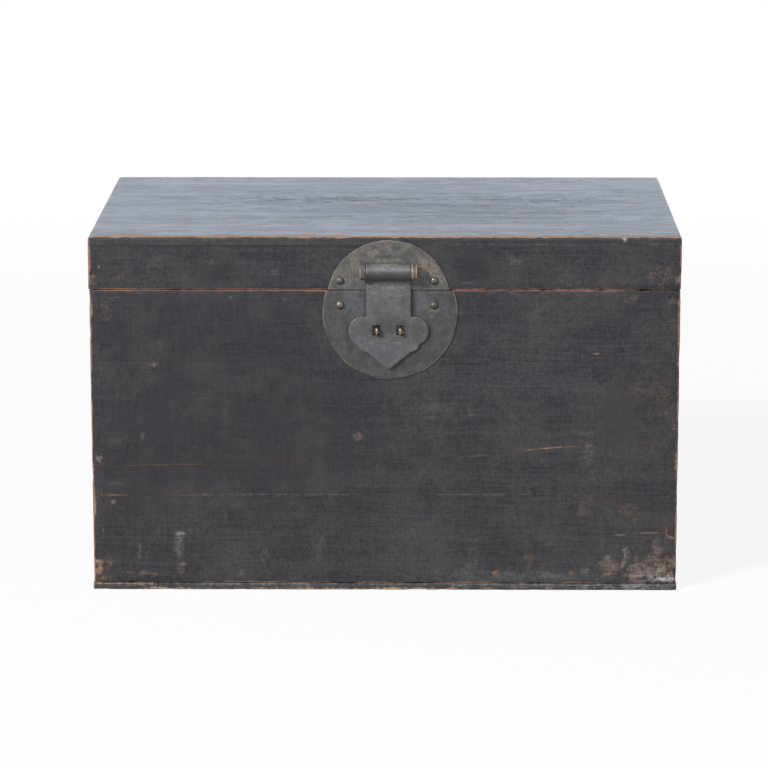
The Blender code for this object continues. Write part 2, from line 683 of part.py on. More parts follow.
def build_hinges(back_planks, rim, lid_axis):
    third = LEAF_WIDTH / 3
    lid_spans = [(-third / 2 + HINGE_GAP / 2, third / 2 - HINGE_GAP / 2)]
    body_spans = [(-LEAF_WIDTH / 2, -third / 2 - HINGE_GAP / 2), (third / 2 + HINGE_GAP / 2, LEAF_WIDTH / 2)]
    middle = HINGE_BARREL_R + HINGE_GAP + LEAF_HEIGHT / 2
    sets = (
        ("lid", lid_spans, 1, LID_HALF_Y, RIM_BOARD, lid_axis, [rim]),
        ("body", body_spans, -1, WALL_HALF_Y, WALL_BOARD, None, back_planks),
    )
    for kind, spans, direction, face_y, board, carrier, boards in sets:
        head_y = face_y + SEAT + LEAF + SEAT
        shank = SEAT + LEAF + SEAT + board - BLIND
        nail = nail_mesh(f"hinge_{kind}_nail", LEAF_NAIL_HEAD_R, LEAF_NAIL_HEAD, shank)
        holes = bmesh.new()
        cut = list(boards)
        for side, word in ((-1, "left"), (1, "right")):
            x = side * HINGE_X
            cut.append(build_leaf(f"{word}_hinge_{kind}_leaf", x, spans, direction, face_y, carrier))
            for offset, which in ((-LEAF_NAIL_X, "a"), (LEAF_NAIL_X, "b")):
                z = SPLIT + direction * middle
                put_nail(f"{word}_hinge_{kind}_nail_{which}", nail, at(x + offset, head_y, z) @ FACING_BACK,
                         carrier)
                nail_hole(holes, x + offset, head_y, z, shank + SEAT, 1)
        cutter = put_cutter(f"hinge_{kind}_holes", shape_mesh(f"hinge_{kind}_holes", holes))
        for part in cut:
            boolean(part, cutter)
    for side, word in ((-1, "left"), (1, "right")):
        shape = bmesh.new()
        add_rod(shape, (0, 0, 0), ALONG_X, HINGE_PIN_R,
                LEAF_WIDTH + 2 * PIN_PROUD, SMALL_STEPS)
        name = f"{word}_hinge_pin"
        put(name, shape_mesh(name, shape), at(side * HINGE_X, HINGE_Y, SPLIT), RUBBED_BRASS)


def build_handle(word, side, planks, axis):
    """A bail that hangs in two eyes, whose necks are let through washers into the end planks."""
    corners = [(-BAIL_END, 0), (-BAIL_HALF, 0), (-BAIL_HALF, -BAIL_DROP), (BAIL_HALF, -BAIL_DROP),
               (BAIL_HALF, 0), (BAIL_END, 0)]
    bends = (BAIL_TOP_BEND, BAIL_LOW_BEND, BAIL_LOW_BEND, BAIL_TOP_BEND)
    path = [(0, y, z) for y, z in filleted(corners, bends, BEND_STEPS)]
    x = side * HANDLE_X
    name = f"{word}_handle_bail"
    put(name, tube_curve(name, path, BAIL_R), at(x, 0, HANDLE_HEIGHT), DARK_BRASS, axis)
    holes = bmesh.new()
    neck_end = WALL_HALF_X - WALL_BOARD + BLIND
    cut = list(planks)
    for end, which in ((-1, "front"), (1, "rear")):
        y = end * EYE_Y
        loops = necked_ring(EYE_R, BAIL_R + EYE_ROOM, EYE_NECK, HANDLE_X - neck_end, ROUND_STEPS)
        eye = flat_mesh(f"{word}_handle_eye_{which}", [[(-side * u, v) for u, v in loop] for loop in loops],
                        EYE_WIDTH)
        put(f"{word}_handle_eye_{which}", eye, at(x, y, HANDLE_HEIGHT) @ FACING_FRONT, DARK_BRASS)
        washer = flat_mesh(f"{word}_handle_washer_{which}", [circle(0, 0, WASHER_R, ROUND_STEPS)], WASHER)
        washer_x = side * (WALL_HALF_X + SEAT + WASHER / 2)
        cut.append(put(f"{word}_handle_washer_{which}", washer,
                       at(washer_x, y, HANDLE_HEIGHT) @ FACING_END, DARK_BRASS))
        half, tall = EYE_WIDTH / 2 + SEAT, EYE_NECK / 2 + SEAT
        ends = sorted((side * (neck_end - SEAT), side * (WALL_HALF_X + SEAT + WASHER + SEAT)))
        add_box(holes, (ends[0], y - half, HANDLE_HEIGHT - tall), (ends[1], y + half, HANDLE_HEIGHT + tall))
    cutter = put_cutter(f"{word}_handle_holes", shape_mesh(f"{word}_handle_holes", holes))
    for part in cut:
        boolean(part, cutter)


lid_axis = axis_empty("lid_axis", (0, HINGE_Y, SPLIT))
hasp_axis = axis_empty("hasp_axis", (LOCK_X, BARREL_Y, BARREL_Z), lid_axis)
walls = build_carcass()
build_base()
rims = build_lid(lid_axis)
build_lower_lock(walls["front"])
build_upper_lock(rims["front"], lid_axis)
build_hasp(hasp_axis)
build_hinges(walls["back"], rims["back"], lid_axis)
for word, side in (("left", -1), ("right", 1)):
    handle_axis = axis_empty(f"{word}_handle_axis", (side * HANDLE_X, 0, HANDLE_HEIGHT))
    build_handle(word, side, walls[word], handle_axis)
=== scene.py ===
import json
import math
import random

import bmesh
import bpy
import numpy as np
from mathutils import Matrix, Vector, noise

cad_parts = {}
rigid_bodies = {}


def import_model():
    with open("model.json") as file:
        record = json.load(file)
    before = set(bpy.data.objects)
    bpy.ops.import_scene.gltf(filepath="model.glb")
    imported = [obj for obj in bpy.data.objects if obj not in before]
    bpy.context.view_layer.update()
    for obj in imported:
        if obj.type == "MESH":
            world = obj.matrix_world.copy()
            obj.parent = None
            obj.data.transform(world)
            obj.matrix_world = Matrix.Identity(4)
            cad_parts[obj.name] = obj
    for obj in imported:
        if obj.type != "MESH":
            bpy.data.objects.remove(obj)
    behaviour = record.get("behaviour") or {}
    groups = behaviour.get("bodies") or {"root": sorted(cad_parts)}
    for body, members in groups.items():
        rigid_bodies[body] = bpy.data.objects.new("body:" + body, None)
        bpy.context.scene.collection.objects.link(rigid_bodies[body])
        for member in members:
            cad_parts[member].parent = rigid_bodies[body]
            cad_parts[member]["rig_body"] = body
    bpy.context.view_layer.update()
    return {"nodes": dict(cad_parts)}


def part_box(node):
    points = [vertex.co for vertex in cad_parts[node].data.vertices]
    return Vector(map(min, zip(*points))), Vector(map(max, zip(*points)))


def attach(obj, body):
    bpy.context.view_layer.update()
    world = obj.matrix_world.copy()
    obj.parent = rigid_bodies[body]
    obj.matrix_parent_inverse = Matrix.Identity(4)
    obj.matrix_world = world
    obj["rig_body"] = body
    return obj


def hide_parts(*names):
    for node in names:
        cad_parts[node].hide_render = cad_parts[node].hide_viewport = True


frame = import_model()
cadNodes = frame["nodes"]
scene = bpy.context.scene
scene.view_settings.view_transform = "Standard"
print("frame loaded:", len(cadNodes), "nodes")

# camera, as the photograph was taken: from the front, a little above
cameraSetup = {
    "focalPixels": 3582.7, "imagePixels": 768, "sensor": 36.0,
    "pitch": 0.215560, "yaw": -0.010771, "roll": -0.000857,   # in radians
    "place": (0.056515, -5.628103, 1.494625),
}


def addCamera(setup):
    data = bpy.data.cameras.new("trunkCamera")
    data.sensor_width = setup["sensor"]
    data.lens = setup["focalPixels"] / setup["imagePixels"] * setup["sensor"]
    camera = bpy.data.objects.new("trunkCamera", data)
    scene.collection.objects.link(camera)
    pitch, yaw, roll = setup["pitch"], setup["yaw"], setup["roll"]
    forward = Vector((math.sin(yaw) * math.cos(pitch), math.cos(yaw) * math.cos(pitch), -math.sin(pitch)))
    right = Vector((math.cos(yaw), -math.sin(yaw), 0))
    up = right.cross(forward)
    rolledRight = right * math.cos(roll) + up * math.sin(roll)
    rolledUp = up * math.cos(roll) - right * math.sin(roll)
    turn = Matrix((rolledRight, rolledUp, -forward)).transposed().to_4x4()
    camera.matrix_world = Matrix.Translation(setup["place"]) @ turn
    scene.camera = camera


addCamera(cameraSetup)
print("camera set")


# short ways to write nodes and links
def setInputs(tree, sockets, values):
    for key, value in values.items():
        if isinstance(value, bpy.types.NodeSocket):
            tree.links.new(value, sockets[key])
        else:
            sockets[key].default_value = value


def addNode(tree, kind, inputs=None, **settings):
    node = tree.nodes.new("ShaderNode" + kind)
    for key, value in settings.items():
        setattr(node, key, value)
    setInputs(tree, node.inputs, inputs or {})
    return node


def calc(tree, operation, a, b, clamp=False):
    return addNode(tree, "Math", {0: a, 1: b}, operation=operation, use_clamp=clamp).outputs[0]


def plus(tree, a, b, clamp=False):
    return calc(tree, "ADD", a, b, clamp)


def less(tree, a, b):
    return calc(tree, "SUBTRACT", a, b)


def times(tree, a, b, clamp=False):
    return calc(tree, "MULTIPLY", a, b, clamp)


def most(tree, a, b):
    return calc(tree, "MAXIMUM", a, b)


def vectorCalc(tree, operation, a, b):
    return addNode(tree, "VectorMath", {0: a, 1: b}, operation=operation).outputs[0]


def vectorLength(tree, vector):
    return addNode(tree, "VectorMath", {0: vector}, operation="LENGTH").outputs["Value"]


def axes(tree, vector):
    return addNode(tree, "SeparateXYZ", {0: vector}).outputs


def clouds(tree, vector, scale, detail=4.0, roughness=0.6):
    inputs = {"Vector": vector, "Scale": scale, "Detail": detail, "Roughness": roughness}
    return addNode(tree, "TexNoise", inputs).outputs["Fac"]


def stretchedClouds(tree, vector, stretch, detail=4.0, roughness=0.6):
    return clouds(tree, vectorCalc(tree, "MULTIPLY", vector, stretch), 1.0, detail, roughness)


def between(tree, value, low, high, toLow=0.0, toHigh=1.0):
    inputs = {"Value": value, "From Min": low, "From Max": high, "To Min": toLow, "To Max": toHigh}
    return addNode(tree, "MapRange", inputs, interpolation_type="SMOOTHSTEP").outputs["Result"]


def patches(tree, vector, cloudSetup, spread):
    return between(tree, clouds(tree, vector, *cloudSetup), *spread)


def blendColour(tree, factor, first, second):
    node = addNode(tree, "Mix", {0: factor}, data_type="RGBA")
    colourInputs = [socket for socket in node.inputs if socket.type == "RGBA"]
    colours = [c if isinstance(c, bpy.types.NodeSocket) else (*c, 1) for c in (first, second)]
    setInputs(tree, colourInputs, dict(enumerate(colours)))
    return [socket for socket in node.outputs if socket.type == "RGBA"][0]


def newGroup(name, inputs, outputs):
    # inputs come with their values, a place in space without one; all outputs are single values
    tree = bpy.data.node_groups.new(name, "ShaderNodeTree")
    for label, value in inputs.items():
        kind = "NodeSocketFloat" if isinstance(value, float) else "NodeSocketVector"
        socket = tree.interface.new_socket(name=label, in_out="INPUT", socket_type=kind)
        if value is not None:
            socket.default_value = value
    for label in outputs:
        tree.interface.new_socket(name=label, in_out="OUTPUT", socket_type="NodeSocketFloat")
    return tree, tree.nodes.new("NodeGroupInput").outputs, tree.nodes.new("NodeGroupOutput").inputs


def placeGroup(tree, group, inputs):
    return addNode(tree, "Group", inputs, node_tree=group).outputs


# floor, backdrop and light
stageSetup = {
    "floorHalf": 7.0, "floorDrop": -0.0005, "floorTone": (0.9, 0.9, 0.9), "floorBounce": (0.4, 0.4, 0.4),
    "fadeStart": 1.3, "fadeEnd": 3.6, "shadowShare": 0.11,
    "fill": (0.16, 0.16, 0.165), "backdropShine": (0.91, 1.0, 1.14),
    "lamps": (
        {"name": "keyWindow", "place": (-8.0, -9.0, 7.4), "aim": (0, -0.25, 0.35), "size": 2.3, "power": 2300},
        {"name": "overheadPanel", "place": (1.3, -2.4, 3.0), "aim": (0.1, -0.25, 0.4), "size": 1.4, "power": 18},
    ),
}


def addStage(setup):
    floor = bmesh.new()
    bmesh.ops.create_grid(floor, x_segments=1, y_segments=1, size=setup["floorHalf"],
                          matrix=Matrix.Translation((0, 0, setup["floorDrop"])))
    mesh = bpy.data.meshes.new("studioFloor")
    floor.to_mesh(mesh)
    floor.free()
    piece = bpy.data.objects.new("studioFloor", mesh)
    scene.collection.objects.link(piece)

    # near the trunk the floor takes its shadow, further off it gives way to the white backdrop
    material = bpy.data.materials.new("studioFloorWhite")
    material.use_nodes = True
    tree = material.node_tree
    tree.nodes.clear()
    coords = addNode(tree, "TexCoord").outputs["Object"]
    near = between(tree, vectorLength(tree, coords), setup["fadeStart"], setup["fadeEnd"], 1.0, 0.0)
    rays = addNode(tree, "LightPath").outputs
    seen = most(tree, most(tree, rays["Is Camera Ray"], rays["Is Glossy Ray"]), rays["Is Transmission Ray"])
    glow = times(tree, seen, 1 - setup["shadowShare"])
    tone = blendColour(tree, seen, setup["floorBounce"], setup["floorTone"])
    paint = addNode(tree, "BsdfDiffuse", {"Color": tone}).outputs[0]
    white = addNode(tree, "Emission", {"Color": (1, 1, 1, 1), "Strength": 1.0}).outputs[0]
    lit = addNode(tree, "MixShader", {0: glow, 1: paint, 2: white}).outputs[0]
    clear = addNode(tree, "BsdfTransparent").outputs[0]
    surface = addNode(tree, "MixShader", {0: near, 1: clear, 2: lit}).outputs[0]
    addNode(tree, "OutputMaterial", {"Surface": surface})
    mesh.materials.append(material)

    # the camera sees plain white behind the trunk, and its polish mirrors a cooler backdrop
    world = bpy.data.worlds.new("studioBackdrop")
    world.use_nodes = True
    scene.world = world
    tree = world.node_tree
    tree.nodes.clear()
    rays = addNode(tree, "LightPath").outputs
    colour = blendColour(tree, rays["Is Glossy Ray"], setup["fill"], setup["backdropShine"])
    plainWhite = most(tree, rays["Is Camera Ray"], rays["Is Transmission Ray"])
    colour = blendColour(tree, plainWhite, colour, (1, 1, 1))
    background = addNode(tree, "Background", {"Color": colour, "Strength": 1.0}).outputs[0]
    addNode(tree, "OutputWorld", {"Surface": background})

    for lamp in setup["lamps"]:
        data = bpy.data.lights.new(lamp["name"], "AREA")
        data.energy = lamp["power"]
        data.size = lamp["size"]
        light = bpy.data.objects.new(lamp["name"], data)
        scene.collection.objects.link(light)
        place = Vector(lamp["place"])
        turn = (Vector(lamp["aim"]) - place).to_track_quat("-Z", "Y").to_matrix().to_4x4()
        light.matrix_world = Matrix.Translation(place) @ turn


addStage(stageSetup)
print("stage and lamps set")

# effects that several finishes share; clouds are given as (scale, detail, roughness),
# and a spread as (from, to), with the two values that come out where they aren't 0 and 1
grainSetup = {
    "stretch": (6, 260, 260), "swayScale": 3.5, "swayDetail": 2.0, "sway": 0.03,
    "fine": (1.0, 5.0, 0.65), "fineShare": 0.65, "broad": (0.16, 3.0, 0.5), "broadShare": 0.35,
    "toneSpread": (0.38, 0.62), "strokes": ((1.6, 3.0, 0.6), (0.57, 0.74)),
    "pores": ((2.6, 2.0, 0.5), (0.56, 0.7)), "poreDepth": 0.5,
}
rubSetup = {"widest": 1.6, "spread": (0.05, 0.6)}
scuffSetup = {"inside": (1.2, 1.9, 1.0, 0.0)}   # however rough, a mark stays inside twice its size
hazeSetup = {
    "haze": ((10.0, 8.0, 0.74), (0.42, 0.68)), "specks": ((170.0, 2.0), (0.68, 0.77)),
    "drips": ((55, 55, 9), 5.0, 0.65), "dripSpread": (0.53, 0.76), "dripPlaces": ((5.0, 2.0), (0.42, 0.62)),
    "fine": (230.0, 4.0, 0.65), "hatch": ((250, 250, 40), 3.0, 0.6),
}
patinaSetup = {
    "mottle": ((62.0, 6.0, 0.7), (0.32, 0.68)), "khaki": ((34.0, 6.0, 0.7), (0.5, 0.68)),
    "pits": ((210.0, 3.0, 0.6), (0.62, 0.74)), "pitDepth": 0.3,
    "fine": (300.0, 4.0, 0.65), "fineHeight": 0.2, "dents": (95.0, 2.0, 0.4),
}


def makeGrainGroup(setup):
    tree, given, out = newGroup("elmGrain", {"Vector": None, "Stretch": setup["stretch"]},
                                ("Tone", "Pores", "Strokes", "Height"))
    cloudInputs = {"Vector": given["Vector"], "Scale": setup["swayScale"], "Detail": setup["swayDetail"]}
    sway = addNode(tree, "TexNoise", cloudInputs).outputs["Color"]
    sway = vectorCalc(tree, "MULTIPLY", vectorCalc(tree, "SUBTRACT", sway, (0.5, 0.5, 0.5)), (setup["sway"],) * 3)
    wandering = vectorCalc(tree, "ADD", given["Vector"], sway)
    stretched = vectorCalc(tree, "MULTIPLY", wandering, given["Stretch"])
    fine = clouds(tree, stretched, *setup["fine"])
    broad = clouds(tree, stretched, *setup["broad"])
    pores = patches(tree, stretched, *setup["pores"])
    tone = plus(tree, times(tree, fine, setup["fineShare"]), times(tree, broad, setup["broadShare"]))
    setInputs(tree, out, {
        "Tone": between(tree, tone, *setup["toneSpread"]), "Pores": pores,
        "Strokes": patches(tree, stretched, *setup["strokes"]),
        "Height": less(tree, fine, times(tree, pores, setup["poreDepth"])),
    })
    return tree


def makeBoxEdgeGroup():
    # how far a point of a box's skin is from the upright, upper and lower edges of that box;
    # towards the upper front edge, heights can be squeezed, so that wear lies mostly on the top
    tree, given, out = newGroup("boxEdge", {"Vector": None, "Low": (0, 0, 0), "High": (1, 1, 1), "Squeeze": 1.0},
                                ("Upright", "Upper", "Lower", "Front"))
    above = vectorCalc(tree, "SUBTRACT", given["Vector"], given["Low"])
    below = vectorCalc(tree, "SUBTRACT", given["High"], given["Vector"])
    x, y, _ = axes(tree, vectorCalc(tree, "MINIMUM", above, below))
    _, back, up = axes(tree, above)
    down = axes(tree, below)[2]
    sideways = calc(tree, "MINIMUM", x, y)
    setInputs(tree, out, {
        "Upright": most(tree, x, y), "Upper": most(tree, down, sideways), "Lower": most(tree, up, sideways),
        "Front": most(tree, times(tree, down, given["Squeeze"]), back),
    })
    return tree


def makeRubGroup(setup):
    # rubbed through near an edge, in a line that comes and goes
    tree, given, out = newGroup("rubbedEdge", {"Distance": 1.0, "Width": 0.003, "Least": 0.3, "Slow": 0.5,
                                               "Rough": 0.0, "Breakup": 1.0}, ("Mask",))
    width = times(tree, given["Width"], between(tree, given["Slow"], 0.0, 1.0, given["Least"], setup["widest"]))
    nearness = less(tree, 1.0, calc(tree, "DIVIDE", given["Distance"], width))
    ragged = plus(tree, nearness, times(tree, given["Rough"], given["Breakup"]))
    setInputs(tree, out, {"Mask": between(tree, ragged, *setup["spread"])})
    return tree


def makeScuffGroup(setup):
    # one mark with a ragged outline, placed at a given spot
    tree, given, out = newGroup("scuff", {"Vector": None, "Centre": (0, 0, 0), "Size": (0.01, 0.01, 0.01),
                                          "Rough": 0.0, "Breakup": 1.0}, ("Mask",))
    away = vectorCalc(tree, "SUBTRACT", given["Vector"], given["Centre"])
    length = vectorLength(tree, vectorCalc(tree, "DIVIDE", away, given["Size"]))
    ragged = plus(tree, less(tree, 1.0, length), times(tree, given["Rough"], given["Breakup"]))
    inside = between(tree, length, *setup["inside"])
    setInputs(tree, out, {"Mask": times(tree, between(tree, ragged, 0.0, 1.0), inside)})
    return tree


def makeHazeGroup(setup):
    tree, given, out = newGroup("hazeAndDrips", {"Vector": None}, ("Haze", "Drips", "Specks", "Fine", "Hatch"))
    here = given["Vector"]
    drips = between(tree, stretchedClouds(tree, here, *setup["drips"]), *setup["dripSpread"])
    setInputs(tree, out, {
        "Haze": patches(tree, here, *setup["haze"]), "Specks": patches(tree, here, *setup["specks"]),
        "Drips": times(tree, drips, patches(tree, here, *setup["dripPlaces"])),
        "Fine": clouds(tree, here, *setup["fine"]), "Hatch": stretchedClouds(tree, here, *setup["hatch"]),
    })
    return tree


def makePatinaGroup(setup):
    tree, given, out = newGroup("brassPatina", {"Vector": None}, ("Mottle", "Fine", "Khaki", "Pits", "Height"))
    here = given["Vector"]
    fine = clouds(tree, here, *setup["fine"])
    pits = patches(tree, here, *setup["pits"])
    raised = plus(tree, clouds(tree, here, *setup["dents"]), times(tree, fine, setup["fineHeight"]))
    setInputs(tree, out, {
        "Mottle": patches(tree, here, *setup["mottle"]), "Khaki": patches(tree, here, *setup["khaki"]),
        "Fine": fine, "Pits": pits, "Height": less(tree, raised, times(tree, pits, setup["pitDepth"])),
    })
    return tree


elmGrain = makeGrainGroup(grainSetup)
boxEdge = makeBoxEdgeGroup()
rubbedEdge = makeRubGroup(rubSetup)
scuff = makeScuffGroup(scuffSetup)
hazeAndDrips = makeHazeGroup(hazeSetup)
brassPatina = makePatinaGroup(patinaSetup)
print("shared effects made")


# finishes
def newFinish(name):
    material = bpy.data.materials.new(name)
    material.use_nodes = True
    tree = material.node_tree
    tree.nodes.clear()
    shader = addNode(tree, "BsdfPrincipled")
    addNode(tree, "OutputMaterial", {"Surface": shader.outputs[0]})
    coords = addNode(tree, "TexCoord").outputs["Object"]
    return material, tree, shader, coords


def bumpNormal(tree, height, strength, distance):
    return addNode(tree, "Bump", {"Height": height, "Strength": strength, "Distance": distance}).outputs[0]


def seamDistance(tree):
    return addNode(tree, "Attribute", attribute_name="seamDistance").outputs["Fac"]


def raggedClouds(tree, coords, cloudSetup):
    return less(tree, clouds(tree, coords, *cloudSetup), 0.5)   # as much below nothing as above it


def rubMask(tree, distance, width, least, slow, ragged, breakup):
    return placeGroup(tree, rubbedEdge, {"Distance": distance, "Width": width, "Least": least, "Slow": slow,
                                         "Rough": ragged, "Breakup": breakup})["Mask"]


def spotMask(tree, coords, spot, ragged, breakup):
    return placeGroup(tree, scuff, {"Vector": coords, "Centre": spot["at"], "Size": spot["size"],
                                    "Rough": ragged, "Breakup": breakup})["Mask"]


markColours = {
    "pale": (0.155, 0.150, 0.142), "brown": (0.125, 0.084, 0.064), "copper": (0.33, 0.155, 0.095),
    "tan": (0.46, 0.30, 0.195), "white": (0.56, 0.53, 0.50), "dust": (0.20, 0.205, 0.22),
    "mist": (0.085, 0.088, 0.097), "darkPatchAndShade": (0.0125, 0.0110, 0.0140), "smoke": (0.066, 0.061, 0.055),
    "pink": (0.26, 0.185, 0.155), "pinkPale": (0.27, 0.235, 0.21), "black": (0.006, 0.006, 0.006),
    "khaki": (0.235, 0.215, 0.155), "khakiWarm": (0.235, 0.19, 0.145), "slate": (0.055, 0.06, 0.066),
    "tanBrass": (0.36, 0.26, 0.17), "steel": (0.125, 0.129, 0.140), "umber": (0.058, 0.051, 0.045),
    "slateBlue": (0.086, 0.089, 0.098), "paleSteel": (0.20, 0.20, 0.197), "dirtAndShade": (0.03, 0.028, 0.026),
}


def addMarks(tree, coords, colour, marks, ragged, stripes):
    dull = 0.0   # how far the marks take the polish away
    for mark in marks:
        mask = spotMask(tree, coords, mark, ragged, mark["breakup"])
        share = times(tree, times(tree, mask, mark["share"]), stripes, clamp=True)
        colour = blendColour(tree, share, colour, markColours[mark["tone"]])
        if mark["dull"]:
            dull = most(tree, dull, times(tree, share, mark["dull"]))
    return colour, dull


lacquerTones = {
    "black": (0.0085, 0.0075, 0.0098), "grey": (0.0410, 0.0378, 0.0420), "khaki": (0.062, 0.058, 0.0520),
    "drip": (0.075, 0.071, 0.065), "stroke": (0.080, 0.076, 0.074), "speck": (0.16, 0.15, 0.14),
    "copper": (0.27, 0.125, 0.078), "tan": (0.33, 0.210, 0.135), "dark": (0.10, 0.05, 0.032),
    "sheenStreak": (0.060, 0.055, 0.049),
}
lacquerSetup = {
    "ragged": (60.0, 7.0, 0.74), "grainStripes": (0.0, 1.0, 0.5, 1.2), "fineStripes": (0.38, 0.62, 0.45, 1.25),
    "grainShare": 0.45, "fineShare": 0.35, "hatchShare": 0.2, "weaveSpread": (0.40, 0.60),
    "smudgeSpread": (0.36, 0.64, 0.5, 1.2), "strokeShare": 0.3, "speckShare": 0.3,
    "slow": ((11.0, 3.0), (0.3, 0.72)), "rimBreakup": 2.2, "spotBreakup": 2.0,
    "seamBreakup": 1.6, "seamLeast": 0.9,
    "paler": ((60.0, 4.0), (0.36, 0.66, 0.0, 0.45)), "poreShare": 0.6,
    "bareRoughness": 0.2, "bumpDistance": 0.0006,
}


def makeLacquer(name, face):
    material, tree, shader, coords = newFinish(name)
    setup, tones = lacquerSetup, lacquerTones
    low, high = familyBoxes[face["family"]]
    grain = placeGroup(tree, elmGrain, {"Vector": coords, "Stretch": face["grain"]})
    haze = placeGroup(tree, hazeAndDrips, {"Vector": coords})
    ragged = raggedClouds(tree, coords, setup["ragged"])
    stripes = times(tree, between(tree, grain["Tone"], *setup["grainStripes"]),
                    between(tree, haze["Fine"], *setup["fineStripes"]))

    # thin old lacquer: grain lines and a fine hatching, then smudges, runs and specks over it
    weave = plus(tree, times(tree, grain["Tone"], setup["grainShare"]),
                 plus(tree, times(tree, between(tree, haze["Fine"], *setup["weaveSpread"]), setup["fineShare"]),
                      times(tree, between(tree, haze["Hatch"], *setup["weaveSpread"]), setup["hatchShare"])))
    colour = blendColour(tree, weave, tones["black"], tones["grey"])
    smudge = times(tree, times(tree, haze["Haze"], face["haze"]),
                   between(tree, haze["Fine"], *setup["smudgeSpread"]), clamp=True)
    layers = ((smudge, "khaki"), (times(tree, haze["Drips"], face["drips"]), "drip"),
              (times(tree, grain["Strokes"], setup["strokeShare"]), "stroke"),
              (times(tree, haze["Specks"], setup["speckShare"]), "speck"))
    for share, tone in layers:
        colour = blendColour(tree, share, colour, tones[tone])
    colour, dull = addMarks(tree, coords, colour, face["marks"], ragged, stripes)

    # bare wood where edges and joints are rubbed through
    slow = patches(tree, coords, *setup["slow"])
    edges = placeGroup(tree, boxEdge, {"Vector": coords, "Low": low, "High": high, "Squeeze": face["squeeze"]})
    rimBare = 0.0
    for edge, (width, least) in face["rims"].items():
        mask = rubMask(tree, edges[edge], width, least, slow, ragged, setup["rimBreakup"])
        rimBare = most(tree, rimBare, mask)
    for spot in face["unworn"]:
        mask = spotMask(tree, coords, spot, ragged, setup["spotBreakup"])
        rimBare = times(tree, rimBare, less(tree, 1.0, times(tree, mask, spot["share"])))
    seam = rubMask(tree, seamDistance(tree), face["seamWidth"], setup["seamLeast"], slow, ragged,
                   setup["seamBreakup"])
    shown = face["seamShare"]
    for spot in face["shows"]:
        mask = spotMask(tree, coords, spot, ragged, setup["spotBreakup"])
        shown = most(tree, shown, times(tree, mask, spot["share"]))
    bare = most(tree, rimBare, times(tree, seam, shown))
    paler = plus(tree, patches(tree, coords, *setup["paler"]), times(tree, rimBare, face["tanShare"]), clamp=True)
    wood = blendColour(tree, paler, tones["copper"], tones["tan"])
    wood = blendColour(tree, times(tree, grain["Pores"], setup["poreShare"]), wood, tones["dark"])
    colour = blendColour(tree, bare, colour, wood)

    finish = haze["Haze"]
    if "polish" in face:   # the lid's top, which shines in streaks along the boards
        polish = face["polish"]
        streak = plus(tree, times(tree, stretchedClouds(tree, coords, *polish["streaks"]), polish["streakShare"]),
                      times(tree, stretchedClouds(tree, coords, *polish["fineStreaks"]), polish["fineShare"]))
        streak = between(tree, streak, *polish["streakSpread"])
        flecks = between(tree, stretchedClouds(tree, coords, *polish["flecks"]), *polish["fleckSpread"])
        finish = less(tree, 1.0, streak)
        upward = between(tree, axes(tree, coords)[2], *polish["heights"])
        for worn in (most(tree, bare, dull), flecks):
            upward = times(tree, upward, less(tree, 1.0, worn))
        coat = times(tree, between(tree, streak, 0.0, 1.0, *polish["coat"]), upward)
        setInputs(tree, shader.inputs, {"Coat Weight": coat, "Coat Roughness": polish["roughness"]})
        # painted sheen: a paler tone laid in streaks where the coat is thin, besides the real coat's shine
        sheen = times(tree, times(tree, finish, upward), polish["sheenShare"])
        colour = blendColour(tree, sheen, colour, tones["sheenStreak"])
    roughness = plus(tree, between(tree, finish, 0.0, 1.0, *face["roughness"]),
                     times(tree, bare, setup["bareRoughness"]))
    setInputs(tree, shader.inputs, {
        "Base Color": colour, "Roughness": roughness, "Specular IOR Level": face["specular"],
        "Normal": bumpNormal(tree, grain["Height"], face["bump"], setup["bumpDistance"]),
    })
    return material


bareElmSetup = {
    "light": (0.235, 0.150, 0.088), "dark": (0.115, 0.068, 0.04), "pore": (0.05, 0.03, 0.019),
    "poreShare": 0.75, "stain": (0.075, 0.056, 0.043), "stainShare": 0.55,
    "roughness": (0.78, 0.62), "bump": 0.4, "bumpDistance": 0.0008,
}


def makeBareElm(name, stretch):
    material, tree, shader, coords = newFinish(name)
    setup = bareElmSetup
    grain = placeGroup(tree, elmGrain, {"Vector": coords, "Stretch": stretch})
    haze = placeGroup(tree, hazeAndDrips, {"Vector": coords})
    colour = blendColour(tree, grain["Tone"], setup["dark"], setup["light"])
    colour = blendColour(tree, times(tree, grain["Pores"], setup["poreShare"]), colour, setup["pore"])
    colour = blendColour(tree, times(tree, haze["Haze"], setup["stainShare"]), colour, setup["stain"])
    setInputs(tree, shader.inputs, {
        "Base Color": colour, "Roughness": between(tree, grain["Tone"], 0.0, 1.0, *setup["roughness"]),
        "Normal": bumpNormal(tree, grain["Height"], setup["bump"], setup["bumpDistance"]),
    })
    return material


brassSetup = {   # for all the brass, where a piece doesn't say otherwise
    "ragged": (85.0, 6.0, 0.72), "khakiShare": 0.5, "fineSpread": (0.40, 0.60, 0.0, 0.55), "pitShare": 0.35,
    "slow": ((26.0, 3.0), (0.34, 0.68)), "rimWidth": 0.0008, "rimLeast": 0.1, "rimBreakup": 1.4, "rimShare": 0.7,
    "roughness": (0.36, 0.55), "metallic": 0.3, "specular": 0.4, "bump": 0.3, "bumpDistance": 0.0007, "marks": (),
}


